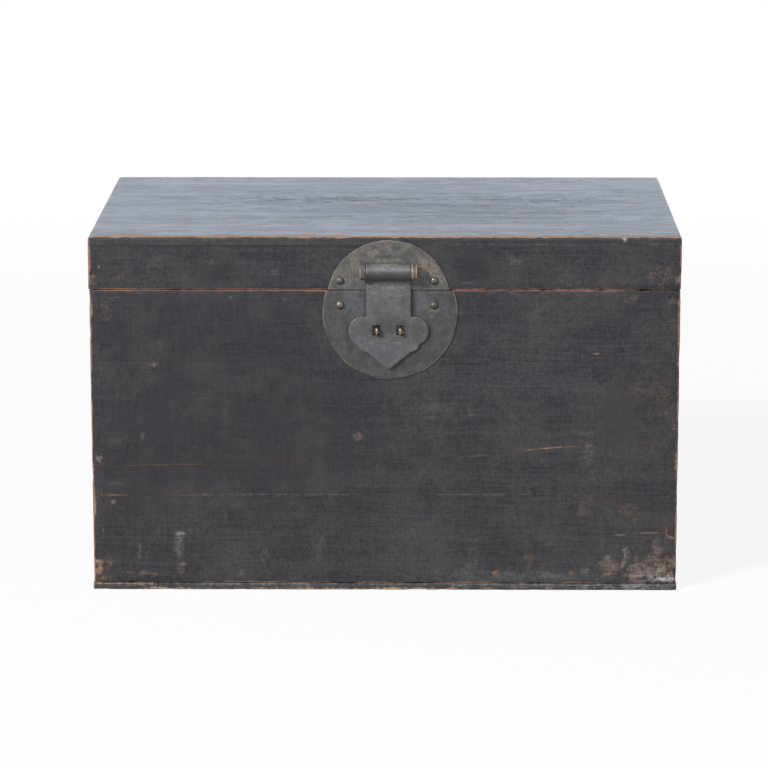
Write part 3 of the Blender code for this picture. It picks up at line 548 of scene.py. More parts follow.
def makeBrass(name, piece):
    material, tree, shader, coords = newFinish(name)
    setup = dict(brassSetup, **piece)
    patina = placeGroup(tree, brassPatina, {"Vector": coords})
    ragged = raggedClouds(tree, coords, setup["ragged"])
    colour = blendColour(tree, patina["Mottle"], setup["dark"], setup["mid"])
    colour = blendColour(tree, times(tree, patina["Khaki"], setup["khakiShare"]), colour, setup["khaki"])
    colour, _ = addMarks(tree, coords, colour, setup["marks"], ragged, 1.0)
    colour = blendColour(tree, between(tree, patina["Fine"], *setup["fineSpread"]), colour, setup["dark"])
    colour = blendColour(tree, times(tree, patina["Pits"], setup["pitShare"]), colour, markColours["dirtAndShade"])
    slow = patches(tree, coords, *setup["slow"])
    rubbed = rubMask(tree, seamDistance(tree), setup["rimWidth"], setup["rimLeast"], slow, ragged,
                     setup["rimBreakup"])
    colour = blendColour(tree, times(tree, rubbed, setup["rimShare"]), colour, setup["rim"])
    smooth, dull = setup["roughness"]
    setInputs(tree, shader.inputs, {
        "Base Color": colour, "Roughness": between(tree, patina["Mottle"], 0.0, 1.0, dull, smooth),
        "Metallic": setup["metallic"], "Specular IOR Level": setup["specular"],
        "Normal": bumpNormal(tree, patina["Height"], setup["bump"], setup["bumpDistance"]),
    })
    return material


# shapes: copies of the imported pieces, worked over
splitHeight = 0.4717   # where the lid meets the carcass
weld, hair = 1e-5, 1e-6   # nearer than this, points are one or edges have no length
flatAngle = 1   # in degrees; faces that differ by less become one
farthest = 0.03   # distances to worn edges count up to here


def nodeShape(name):
    shape = bmesh.new()
    shape.from_mesh(cadNodes[name].data)
    bmesh.ops.remove_doubles(shape, verts=shape.verts, dist=weld)
    bmesh.ops.dissolve_limit(shape, angle_limit=math.radians(flatAngle), verts=shape.verts, edges=shape.edges)
    return shape


def wholeShape(shape):
    return shape.verts[:] + shape.edges[:] + shape.faces[:]


def onlyKind(geometry, kind):
    return [g for g in geometry if isinstance(g, kind)]


def sharpEdges(shape, degrees):
    return [e for e in shape.edges if len(e.link_faces) == 2 and e.calc_face_angle(0) > math.radians(degrees)]


def straightEnds(edges):
    return [(np.array(e.verts[0].co), np.array(e.verts[1].co)) for e in edges if e.calc_length() > hair]


def edgeDistances(shape, lines):
    points = np.array([v.co for v in shape.verts])
    best = np.full(len(points), farthest)
    for start, end in lines:
        along = end - start
        share = np.clip((points - start) @ along / along.dot(along), 0, 1)
        best = np.minimum(best, np.linalg.norm(points - start - share[:, None] * along, axis=1))
    return best


def easeEdges(shape, edges, width, steps):
    if edges:
        bmesh.ops.bevel(shape, geom=edges, offset=width, segments=steps, profile=0.5, affect="EDGES", material=-1)


def cutGrid(shape, low, high, step, leastSpan):
    for axis in range(3):
        if high[axis] - low[axis] < leastSpan:
            continue
        normal = Vector([float(i == axis) for i in range(3)])
        count = max(1, round((high[axis] - low[axis]) / step))
        for i in range(1, count):
            place = Vector(low)
            place[axis] = low[axis] + (high[axis] - low[axis]) * i / count
            bmesh.ops.bisect_plane(shape, geom=wholeShape(shape), plane_co=place, plane_no=normal, dist=weld)


def evenNoise(place):
    return 0.5 + 0.5 * noise.noise(place)   # from 0 to 1


def hammer(shape, depth, scale):
    shape.normal_update()
    moves = [v.normal * -depth * evenNoise(v.co * scale) for v in shape.verts]
    for vert, move in zip(shape.verts, moves):
        vert.co += move


def finishPiece(name, shape, materials, nodeName, smoothAngle, distances=None):
    if distances is None:
        distances = np.full(len(shape.verts), farthest)
    mesh = bpy.data.meshes.new(name)
    shape.to_mesh(mesh)
    shape.free()
    attribute = mesh.attributes.new("seamDistance", "FLOAT", "POINT")
    attribute.data.foreach_set("value", distances.astype(np.float32))
    for material in materials:
        mesh.materials.append(material)
    mesh.shade_smooth()
    mesh.set_sharp_from_angle(angle=math.radians(smoothAngle))
    piece = bpy.data.objects.new(name, mesh)
    scene.collection.objects.link(piece)
    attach(piece, cadNodes[nodeName]["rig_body"])
    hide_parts(nodeName)


# boards, with worn arrises, a planed waviness and a few nicks
boardSetup = {
    "grid": 0.010, "leastSpan": 0.03, "sharpAngle": 30, "smoothAngle": 30,
    "rimArris": 0.0016, "rimSteps": 3, "splitArris": 0.0005, "splitSteps": 2, "baseArris": 0.0018,
    "seamArris": 0.0002, "seamSteps": 1, "leastSeam": 0.004, "jointFill": 0.00014,
    "skin": 1e-4, "skinFacing": 0.9, "level": 0.001, "wornReach": 0.0025,
    "recess": (0.00005, 0.00012), "wobble": 0.00035, "wobbleScale": 9.0, "wobbleRoughness": (1.0, 2.0, 2),
    "drift": (0.09, 0.05, 0), "topSeed": 90,
    "nick": 0.0018, "nickScale": 46.0, "nickFrom": 0.12,
    "backing": 0.002, "backFacing": 0.7, "baseMargin": 0.018,
}
boardNodes = {
    "carcass": [n for n in cadNodes if n.split("_")[0] in ("front", "back", "left", "right") and "_plank_" in n],
    "lid": [n for n in cadNodes if n.startswith("lid_")],
    "base": [n for n in cadNodes if n.startswith("base_")],
}


def familyBox(names):
    lows, highs = zip(*(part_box(n) for n in names))
    return (Vector([min(v[i] for v in lows) for i in range(3)]),
            Vector([max(v[i] for v in highs) for i in range(3)]))


familyBoxes = {family: familyBox(names) for family, names in boardNodes.items()}


def outerSides(point, low, high, reach):
    sides = []
    for axis in range(3):
        for limit, sign in ((low[axis], -1), (high[axis], 1)):
            if abs(point[axis] - limit) < reach:
                sides.append((axis, sign))
    return sides


def dressBoard(name, family, materials, thickness, seed):
    setup = boardSetup
    low, high = familyBoxes[family]
    boardLow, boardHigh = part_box(name)
    shape = nodeShape(name)

    def looksOut(face):
        sides = outerSides(face.calc_center_median(), low, high, setup["skin"])
        return any(face.normal[axis] * sign > setup["skinFacing"] for axis, sign in sides)

    def outerEdges(facesOut):   # edges with so many faces on the outside
        edges = sharpEdges(shape, setup["sharpAngle"])
        return [e for e in edges if sum(looksOut(face) for face in e.link_faces) == facesOut]

    def closed(edge):   # where the lid closes on the carcass, or the carcass stands on its base
        heights = [splitHeight] + ([low.z] if family == "carcass" else [])
        return any(all(abs(v.co.z - height) < setup["level"] for v in edge.verts) for height in heights)

    seams = [e for e in outerEdges(1) if e.calc_length() > setup["leastSeam"]]
    seamLines = straightEnds(seams)
    easeEdges(shape, [e for e in outerEdges(2) if closed(e)], setup["splitArris"], setup["splitSteps"])
    easeEdges(shape, [e for e in outerEdges(2) if not closed(e)],
              setup["baseArris" if family == "base" else "rimArris"], setup["rimSteps"])
    if name.startswith("lid_top"):   # the joint in the top is filled and planed flush
        for vert in shape.verts:
            for limit, outer, sign in ((boardLow.y, low.y, -1), (boardHigh.y, high.y, 1)):
                if abs(limit - outer) > setup["level"] and abs(vert.co.y - limit) < setup["skin"]:
                    vert.co.y += sign * setup["jointFill"]
    else:
        kept = [e for e in seams if e.is_valid and e.calc_length() > setup["leastSeam"]]
        easeEdges(shape, kept, setup["seamArris"], setup["seamSteps"])
    cutGrid(shape, boardLow, boardHigh, setup["grid"], setup["leastSpan"])
    distances = edgeDistances(shape, seamLines)

    # every change goes inwards, so that neighbours stay clear
    recess = random.Random(seed).uniform(*setup["recess"])
    drift = Vector([seed * step for step in setup["drift"]])
    for vert in shape.verts:
        sides = outerSides(vert.co, low, high, setup["wornReach"])
        if not sides:
            continue
        wave = 0.5 + 0.5 * noise.fractal(vert.co * setup["wobbleScale"] + drift, *setup["wobbleRoughness"])
        depth = recess + setup["wobble"] * min(1.0, max(0.0, wave))
        if len(sides) > 1:
            worn = noise.noise(vert.co * setup["nickScale"]) - setup["nickFrom"]
            depth += setup["nick"] * max(0.0, worn)
        move = Vector((0, 0, 0))
        for axis, sign in sides:
            move[axis] -= sign * depth
        vert.co += move

    # unfinished wood towards the inside and under the base
    margin, facing = setup["baseMargin"], setup["backFacing"]
    for face in shape.faces:
        centre = face.calc_center_median()
        face.material_index = 0
        if family == "base":
            inside = all(low[i] + margin < centre[i] < high[i] - margin for i in (0, 1))
            if face.normal.z < -facing or (face.normal.z > facing and inside):
                face.material_index = 1
            continue
        for axis in range(3):
            for limit, sign in ((low[axis], -1), (high[axis], 1)):
                behind = abs(abs(centre[axis] - limit) - thickness) < setup["backing"]
                if behind and face.normal[axis] * sign < -facing:
                    face.material_index = 1
    finishPiece(name + "_worn", shape, materials, name, setup["smoothAngle"], distances)


# marks read off the photograph, by the surface that carries them; each row gives the place on that
# surface, half the width, depth and height, the tone and its share, and where needed the ragged
# outline's breakup and how far the mark takes the polish away
frontY, lidY, baseY, lowerY, topZ = -0.289, -0.29, -0.2907, -0.291, 0.553
spotDepth = 0.02


def makeMark(x, y, z, wide, deep, high, tone, share, breakup=4.5, dull=0.0):
    return {"at": (x, y, z), "size": (wide, deep, high), "tone": tone, "share": share, "breakup": breakup,
            "dull": dull}


def wallMarks(y, rows):
    return [makeMark(x, y, z, *rest) for x, z, *rest in rows]


def wallSpots(y, rows):   # places where joints show or edges are kept: x, z, half width and height, share
    return [{"at": (x, y, z), "size": (wide, spotDepth, high), "share": share} for x, z, wide, high, share in rows]


frontMarks = wallMarks(frontY, (
    # painted shade: the broad darker patches over the left of the front even out the lamp's stronger light there
    (-0.28, 0.4, 0.32, 0.05, 0.17, "darkPatchAndShade", 0.46, 1.5),
    (-0.23, 0.245, 0.33, 0.05, 0.17, "darkPatchAndShade", 0.62, 1.5),
    (-0.39, 0.175, 0.12, 0.05, 0.1, "darkPatchAndShade", 0.7, 1.5),
    (0.362, 0.275, 0.06, 0.05, 0.09, "darkPatchAndShade", 0.6, 1.5),
    (0.23, 0.35, 0.19, 0.05, 0.09, "mist", 0.17, 2.0),
    (-0.3165, 0.089, 0.011, 0.01, 0.0055, "pinkPale", 0.9, 1.5),
    (-0.3168, 0.07, 0.0105, 0.01, 0.034, "pale", 1.0, 1.5),
    (-0.3155, 0.038, 0.0095, 0.01, 0.018, "pink", 0.5),
    (-0.369, 0.0252, 0.022, 0.01, 0.006, "brown", 0.95),
    (-0.39, 0.0262, 0.01, 0.01, 0.003, "khakiWarm", 0.4),
    (-0.3786, 0.064, 0.0045, 0.01, 0.013, "pink", 0.45),
    (-0.417, 0.139, 0.006, 0.01, 0.005, "pink", 0.4),
    (-0.433, 0.0185, 0.014, 0.01, 0.006, "copper", 0.7),
    (-0.425, 0.04, 0.008, 0.01, 0.012, "pink", 0.3),
    (-0.408, 0.233, 0.018, 0.01, 0.015, "pale", 0.2, 6.0),
    (-0.415, 0.168, 0.016, 0.01, 0.006, "pale", 0.22, 6.0),
    (-0.224, 0.026, 0.008, 0.01, 0.006, "pale", 0.4),
    (-0.1834, 0.054, 0.01, 0.02, 0.016, "pale", 0.2),
    (-0.1, 0.065, 0.012, 0.02, 0.026, "pale", 0.2),
    (-0.04, 0.242, 0.008, 0.01, 0.009, "pink", 0.32),
    (-0.035, 0.226, 0.008, 0.01, 0.01, "pale", 0.3),
    (-0.3713, 0.2417, 0.006, 0.01, 0.009, "pink", 0.4),
    (-0.3557, 0.3565, 0.013, 0.01, 0.005, "khakiWarm", 0.4),
    (-0.4217, 0.4407, 0.011, 0.01, 0.02, "pink", 0.18),
    (-0.413, 0.46, 0.014, 0.01, 0.006, "khakiWarm", 0.3),
    (-0.2336, 0.4595, 0.006, 0.01, 0.0055, "pale", 0.65),
    (-0.1512, 0.458, 0.009, 0.01, 0.006, "pale", 0.6),
    (-0.342, 0.386, 0.007, 0.01, 0.01, "pink", 0.12),
    (0.09, 0.291, 0.06, 0.02, 0.02, "pale", 0.17, 6.0),
    (0.0, 0.289, 0.006, 0.01, 0.01, "pale", 0.4),
    (0.3216, 0.3731, 0.008, 0.01, 0.002, "tan", 0.5, 2.0),
    (0.309, 0.235, 0.016, 0.02, 0.09, "pale", 0.16, 6.0),
    (0.308, 0.131, 0.012, 0.02, 0.016, "brown", 0.45),
    (0.37, 0.125, 0.024, 0.02, 0.018, "brown", 0.35, 6.0),
    (0.4257, 0.304, 0.024, 0.02, 0.03, "brown", 0.5, 6.0),
    (0.39, 0.315, 0.018, 0.02, 0.014, "brown", 0.3, 6.0),
    (0.134, 0.047, 0.018, 0.02, 0.03, "pale", 0.18, 6.0),
    (0.2208, 0.05, 0.007, 0.02, 0.026, "brown", 0.45),
    (0.199, 0.115, 0.004, 0.01, 0.006, "brown", 0.6),
    (0.169, 0.028, 0.008, 0.01, 0.006, "copper", 0.8),
    (0.249, 0.023, 0.026, 0.01, 0.005, "brown", 0.7, 6.0),
    (0.287, 0.029, 0.016, 0.01, 0.005, "copper", 0.5),
    (0.308, 0.03, 0.009, 0.01, 0.008, "pale", 0.5),
    (0.36, 0.0883, 0.014, 0.01, 0.0018, "tan", 0.42, 1.5),
    (0.405, 0.0914, 0.034, 0.01, 0.0015, "tan", 0.36, 1.5),
    (0.3685, 0.047, 0.009, 0.02, 0.019, "pinkPale", 0.7),
    (0.342, 0.0525, 0.005, 0.01, 0.005, "pale", 0.6),
    (0.35, 0.0365, 0.034, 0.02, 0.018, "pink", 0.4, 3.5),
    (0.392, 0.04, 0.04, 0.02, 0.024, "pink", 0.45, 3.5),
    (0.426, 0.048, 0.032, 0.02, 0.034, "pink", 0.42, 3.5),
    (0.402, 0.0285, 0.03, 0.02, 0.014, "pinkPale", 0.6, 3.5),
    (0.43, 0.031, 0.014, 0.02, 0.012, "pinkPale", 0.7, 3.5),
    (0.35, 0.0262, 0.018, 0.01, 0.0032, "copper", 0.8),
    (0.384, 0.0232, 0.018, 0.01, 0.0026, "tan", 0.7),
    (0.428, 0.0175, 0.022, 0.02, 0.006, "white", 0.9, 6.0),
    (0.395, 0.015, 0.04, 0.02, 0.004, "pale", 0.8, 6.0),
    (0.23, 0.02, 0.23, 0.02, 0.018, "mist", 0.6, 3.0),
    (-0.13, 0.1512, 0.22, 0.01, 0.0026, "pale", 0.5, 3.0),
    (0.15, 0.1512, 0.18, 0.01, 0.0022, "pale", 0.35, 3.0),
    (0.372, 0.457, 0.014, 0.01, 0.008, "pink", 0.35),
    (0.44, 0.437, 0.01, 0.01, 0.03, "brown", 0.55, 6.0),
))
seamShows = wallSpots(frontY, (
    (-0.441, 0.0936, 0.016, 0.02, 0.6),
    (-0.441, 0.0361, 0.016, 0.02, 0.6),
    (-0.441, 0.206, 0.016, 0.018, 0.6),
    (-0.445, 0.25, 0.008, 0.016, 0.5),
    (0.441, 0.092, 0.018, 0.022, 1.0),
    (0.441, 0.0361, 0.014, 0.016, 0.4),
    (0.443, 0.26, 0.01, 0.024, 0.5),
    (-0.35, 0.199, 0.12, 0.012, 0.3),
    (-0.1, 0.204, 0.16, 0.01, 0.12),
    (0.14, 0.213, 0.06, 0.014, 0.35),
    (0.255, 0.226, 0.085, 0.014, 1.0),
    (0.4, 0.2345, 0.05, 0.01, 0.2),
    (-0.42, 0.1503, 0.04, 0.008, 0.5),
    (-0.31, 0.1503, 0.05, 0.008, 0.3),
    (0.33, 0.1503, 0.1, 0.008, 0.25),
    (0.41, 0.3614, 0.05, 0.008, 0.15),
))
tailMarks = wallMarks(frontY, (
    (-0.4405, 0.2086, 0.008, 0.01, 0.01, "pinkPale", 0.8),
    (-0.4405, 0.038, 0.009, 0.01, 0.013, "pink", 0.8, 7.0),
    (-0.4405, 0.031, 0.009, 0.01, 0.006, "copper", 0.6, 7.0),
    (0.442, 0.0361, 0.009, 0.01, 0.012, "pink", 0.7, 7.0),
    (0.442, 0.2661, 0.008, 0.01, 0.01, "brown", 0.6, 7.0),
))
lidMarks = wallMarks(lidY, (
    (-0.258, 0.502, 0.06, 0.02, 0.05, "darkPatchAndShade", 0.6, 1.5),
    (0.14, 0.502, 0.06, 0.02, 0.05, "darkPatchAndShade", 0.7, 1.5),
    (-0.435, 0.5075, 0.0035, 0.01, 0.0045, "tan", 1.0, 2.0),
    (-0.442, 0.492, 0.006, 0.01, 0.006, "copper", 0.8),
    (-0.442, 0.482, 0.008, 0.01, 0.006, "brown", 0.7),
    (-0.0975, 0.5395, 0.0045, 0.01, 0.004, "tan", 0.6),
    (0.1944, 0.522, 0.014, 0.01, 0.014, "pale", 0.4, 6.0),
    (0.4226, 0.496, 0.026, 0.01, 0.02, "pink", 0.23, 7.0),
    (0.442, 0.487, 0.008, 0.01, 0.01, "pinkPale", 0.35, 7.0),
    (-0.398, 0.495, 0.01, 0.01, 0.007, "brown", 0.45),
    (-0.348, 0.52, 0.02, 0.01, 0.012, "pale", 0.25, 7.0),
    (-0.265, 0.515, 0.014, 0.01, 0.006, "pale", 0.22, 6.0),
    (-0.1662, 0.5, 0.01, 0.01, 0.01, "pale", 0.25, 6.0),
    (0.125, 0.482, 0.016, 0.01, 0.002, "pale", 0.5, 2.0),
    (0.33, 0.48, 0.024, 0.01, 0.008, "brown", 0.35, 6.0),
    (-0.2, 0.539, 0.42, 0.01, 0.0036, "black", 0.6, 1.5),
))
splitUnworn = wallSpots(lidY, (   # the ends of the split, where the lacquer is still dark, and its left half
    (-0.26, 0.4717, 0.28, 0.02, 0.3),
    (0.425, 0.4717, 0.12, 0.02, 0.85),
    (-0.45, 0.4717, 0.03, 0.02, 0.85),
))
topEdgeMarks = wallMarks(lidY, (
    (-0.24, 0.5465, 0.38, 0.01, 0.012, "smoke", 0.7, 3.0),
    (0.42, 0.546, 0.06, 0.01, 0.012, "smoke", 0.6, 3.0),
    (0.26, 0.5408, 0.24, 0.01, 0.0026, "pinkPale", 0.13, 3.0),
    (0.415, 0.5425, 0.04, 0.01, 0.003, "pink", 0.25, 3.0),
))
topMarks = [makeMark(x, y, topZ, *rest) for x, y, *rest in (
    (0.07, -0.02, 0.46, 0.22, 0.02, "black", 1.0, 1.5, 0.7),
    (-0.068, 0.06, 0.26, 0.05, 0.01, "black", 1.2, 4.5, 1.0),
    (0.22, 0.06, 0.18, 0.05, 0.01, "black", 1.1, 4.5, 1.0),
    (0.2, -0.095, 0.22, 0.07, 0.01, "black", 0.8, 2.5, 0.8),
    (-0.033, 0.022, 0.034, 0.022, 0.01, "copper", 0.75, 4.5, 0.7),
    (0.158, 0.023, 0.022, 0.02, 0.01, "copper", 0.75, 4.5, 0.7),
    (0.199, -0.072, 0.024, 0.022, 0.01, "copper", 0.75, 4.5, 0.7),
    (0.291, -0.05, 0.02, 0.02, 0.01, "copper", 0.75, 4.5, 0.7),
    (-0.322, -0.136, 0.012, 0.03, 0.01, "copper", 0.75, 4.5, 0.7),
    (-0.25, -0.136, 0.018, 0.02, 0.01, "copper", 0.75, 4.5, 0.7),
    (0.383, 0.013, 0.016, 0.02, 0.01, "copper", 0.75, 4.5, 0.7),
    (0.314, 0.05, 0.07, 0.06, 0.01, "black", 0.6, 8.0, 0.4),
    (0.363, -0.287, 0.004, 0.008, 0.01, "white", 0.9, 4.5, 1.0),
)]
baseMarks = wallMarks(baseY, (
    (0.0, 0.0055, 0.9, 0.02, 0.014, "mist", 0.4, 2.0),
    (0.4, 0.007, 0.11, 0.02, 0.011, "dust", 0.95),
    (0.25, 0.0075, 0.15, 0.02, 0.008, "dust", 0.4),
    (-0.395, 0.0105, 0.08, 0.02, 0.004, "tan", 0.7),
    (-0.22, 0.0105, 0.2, 0.02, 0.0036, "pinkPale", 0.5),
    (0.08, 0.0105, 0.2, 0.02, 0.0032, "pinkPale", 0.35),
    (-0.1, 0.0012, 0.42, 0.02, 0.003, "tan", 0.6, 5.0),
    (0.23, 0.0012, 0.22, 0.02, 0.0026, "copper", 0.5, 5.0),
    (-0.345, 0.0022, 0.04, 0.02, 0.003, "tan", 0.8),
    (-0.24, 0.0022, 0.05, 0.02, 0.003, "brown", 0.8),
    (0.02, 0.0022, 0.14, 0.02, 0.0028, "tan", 0.6),
))

# each lacquered face: which edges are rubbed (width, least share of it) and how much wear shows
longGrain, crossGrain = (6, 260, 260), (260, 6, 260)
topPolish = {
    "streaks": ((3.5, 28, 28), 5.0, 0.6), "streakShare": 0.45, "fineStreaks": ((22, 90, 90), 4.0, 0.6),
    "fineShare": 0.55, "streakSpread": (0.36, 0.64), "flecks": ((90, 120, 120), 3.0, 0.6),
    "fleckSpread": (0.56, 0.68, 0.0, 0.45), "coat": (0.46, 0.62), "roughness": 0.24, "heights": (0.5508, 0.5520),
    "sheenShare": 0.6,
}
plainFace = {
    "family": "carcass", "grain": longGrain, "squeeze": 1.0, "haze": 0.58, "drips": 0.42, "specular": 0.35,
    "roughness": (0.40, 0.54), "bump": 0.25, "seamWidth": 0.0008, "seamShare": 0.02, "tanShare": 0.1,
    "rims": {"Upright": (0.0040, 0.7), "Upper": (0.0018, 0.75), "Lower": (0.0020, 0.2)},
    "marks": (), "shows": (), "unworn": (),
}
lidFace = dict(plainFace, family="lid", rims={"Upright": (0.0040, 0.7), "Lower": (0.0019, 0.75)})
topFace = dict(plainFace, family="lid", squeeze=14.0, haze=0.25, drips=0.0, tanShare=0.6, bump=0.07,
               roughness=(0.32, 0.44), seamShare=0.0, polish=topPolish, marks=topEdgeMarks + topMarks,
               rims={"Upright": (0.0030, 0.3), "Upper": (0.0016, 0.3), "Front": (0.022, 0.75)})
baseFace = dict(plainFace, family="base", marks=baseMarks,
                rims={"Upright": (0.0030, 0.4), "Upper": (0.0006, 0.0), "Lower": (0.0010, 0.1)})
faces = {
    "front": dict(plainFace, marks=frontMarks, shows=seamShows, unworn=splitUnworn), "back": plainFace,
    "end": dict(plainFace, grain=crossGrain, marks=tailMarks, shows=seamShows), "top": topFace,
    "lidFront": dict(lidFace, marks=lidMarks, unworn=splitUnworn), "lidBack": lidFace,
    "lidEnd": dict(lidFace, grain=crossGrain), "base": baseFace,
}
lacquers = {key: makeLacquer(key + "Lacquer", face) for key, face in faces.items()}
bareElm = {"long": makeBareElm("bareElmLong", longGrain), "cross": makeBareElm("bareElmAcross", crossGrain)}

wall, lidTop, baseBoard = 0.016, 0.013, 0.011   # thicknesses
boardFinishes = (   # how the names start, family, lacquer, run of the grain, thickness
    ("front_plank_", "carcass", "front", "long", wall), ("back_plank_", "carcass", "back", "long", wall),
    ("left_plank_", "carcass", "end", "cross", wall), ("right_plank_", "carcass", "end", "cross", wall),
    ("lid_top_", "lid", "top", "long", lidTop), ("lid_rim_front", "lid", "lidFront", "long", wall),
    ("lid_rim_back", "lid", "lidBack", "long", wall), ("lid_rim_left", "lid", "lidEnd", "cross", wall),
    ("lid_rim_right", "lid", "lidEnd", "cross", wall), ("base_plank_", "base", "base", "long", baseBoard),
)
boardCount = 0
for start, family, finish, along, thickness in boardFinishes:
    for name in sorted(n for n in boardNodes[family] if n.startswith(start)):
        boardCount += 1
        seed = boardSetup["topSeed"] if finish == "top" else boardCount   # the top was planed as one
        dressBoard(name, family, [lacquers[finish], bareElm[along]], thickness, seed)
print("boards dressed:", boardCount)

# brass finishes, from the dark plates to the rubbed nails; here some rows have their own depth, as x, y, z
upperMarks = [makeMark(*row) for row in (
    # painted light: a paler band just above the barrel lightens the shade the barrel casts there
    (0.006, -0.2925, 0.5172, 0.045, 0.01, 0.0062, "white", 0.22, 2.0),
    (-0.02, -0.2918, 0.529, 0.03, 0.01, 0.013, "khaki", 0.75),
    (-0.045, -0.2918, 0.512, 0.016, 0.01, 0.02, "khakiWarm", 0.7),
    (0.001, -0.2918, 0.523, 0.02, 0.01, 0.004, "slate", 0.8),
    (0.005, -0.2918, 0.516, 0.011, 0.01, 0.002, "tanBrass", 0.7),
    (0.073, -0.2918, 0.5, 0.018, 0.01, 0.024, "khakiWarm", 0.7),
    (0.06, -0.2918, 0.514, 0.016, 0.01, 0.012, "tanBrass", 0.45, 5.0),
    (-0.068, -0.2918, 0.497, 0.013, 0.01, 0.012, "khaki", 0.6),
    (-0.066, -0.2918, 0.516, 0.018, 0.01, 0.024, "umber", 0.5),
    (0.05, -0.2918, 0.533, 0.026, 0.01, 0.014, "umber", 0.45),
)]
lowerMarks = wallMarks(lowerY, (
    (-0.044, 0.455, 0.024, 0.01, 0.032, "steel", 0.75),
    (0.056, 0.455, 0.02, 0.01, 0.036, "steel", 0.75),
    (0.074, 0.444, 0.012, 0.01, 0.014, "khakiWarm", 0.5),
    (-0.037, 0.368, 0.034, 0.01, 0.022, "umber", 0.5),
    (0.062, 0.372, 0.032, 0.01, 0.024, "umber", 0.5),
    # painted shadow, with some grime: dark strips on the lower plate along the hasp's edges, where its shadow
    # falls
    (0.0425, 0.45, 0.0095, 0.01, 0.055, "dirtAndShade", 0.9, 0.8),
    (0.0675, 0.404, 0.01, 0.01, 0.036, "dirtAndShade", 0.8, 0.8),
    (0.048, 0.375, 0.024, 0.01, 0.018, "dirtAndShade", 0.7, 0.8),
    (0.026, 0.358, 0.024, 0.01, 0.014, "dirtAndShade", 0.7, 0.8),
    (-0.03, 0.372, 0.016, 0.01, 0.01, "dirtAndShade", 0.45, 0.8),
    (-0.0545, 0.404, 0.008, 0.01, 0.034, "dirtAndShade", 0.6, 0.8),
    (-0.03, 0.45, 0.004, 0.01, 0.04, "dirtAndShade", 0.5, 0.8),
))
haspMarks = [makeMark(*row) for row in (
    (0.006, -0.296, 0.372, 0.036, 0.02, 0.024, "slateBlue", 1.0),
    (0.02, -0.295, 0.391, 0.013, 0.01, 0.0012, "tanBrass", 0.7, 1.0),
    (0.01, -0.296, 0.417, 0.06, 0.02, 0.022, "umber", 0.95, 2.0),
    (0.048, -0.296, 0.408, 0.024, 0.02, 0.024, "umber", 0.75, 2.0),
    (-0.012, -0.295, 0.408, 0.014, 0.01, 0.015, "dirtAndShade", 0.65),
    (0.024, -0.295, 0.408, 0.014, 0.01, 0.015, "dirtAndShade", 0.65),
    # painted light: the strap is paler near the barrel, where its bend catches light
    (-0.018, -0.295, 0.478, 0.012, 0.01, 0.01, "paleSteel", 0.55),
    (0.006, -0.295, 0.47, 0.046, 0.01, 0.03, "paleSteel", 0.55, 3.0),
    # painted light: a paler band on the strap just below the barrel, lightening the barrel's cast shadow
    (0.006, -0.296, 0.4798, 0.06, 0.012, 0.007, "white", 0.5, 1.5),
    # painted shade: a dark line where the strap meets the barrel
    (0.006, -0.299, 0.4876, 0.12, 0.014, 0.0052, "dirtAndShade", 1.0, 0.6),
    # painted shade: dark bands over the lower half of the barrel, for its round shading and a dark reflection
    (0.006, -0.315, 0.4945, 0.16, 0.014, 0.016, "dirtAndShade", 0.9, 1.2),
    (0.006, -0.3175, 0.498, 0.08, 0.012, 0.006, "dirtAndShade", 0.5, 1.2),
    # painted highlight: paler bands along the top of the barrel
    (0.006, -0.3125, 0.5115, 0.034, 0.008, 0.006, "paleSteel", 0.7, 3.0),
    (0.014, -0.3162, 0.508, 0.05, 0.012, 0.005, "white", 0.2, 1.5),
    (0.004, -0.308, 0.5142, 0.03, 0.01, 0.003, "white", 0.3, 1.5),
)]
lockNails = sorted(n for n in cadNodes if n.startswith("lock_nail_"))
nailShade = {"below": 0.0042, "size": (0.0100, 0.012, 0.0066)}   # painted shade over the lower half of each lock nail's head


def markNail(name, setup):
    low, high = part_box(name)
    x, z = (low.x + high.x) / 2, (low.z + high.z) / 2
    # painted shade: black over the lower half of the nail's head
    return makeMark(x, low.y, z - setup["below"], *setup["size"], "black", share=1.0, breakup=1.0)


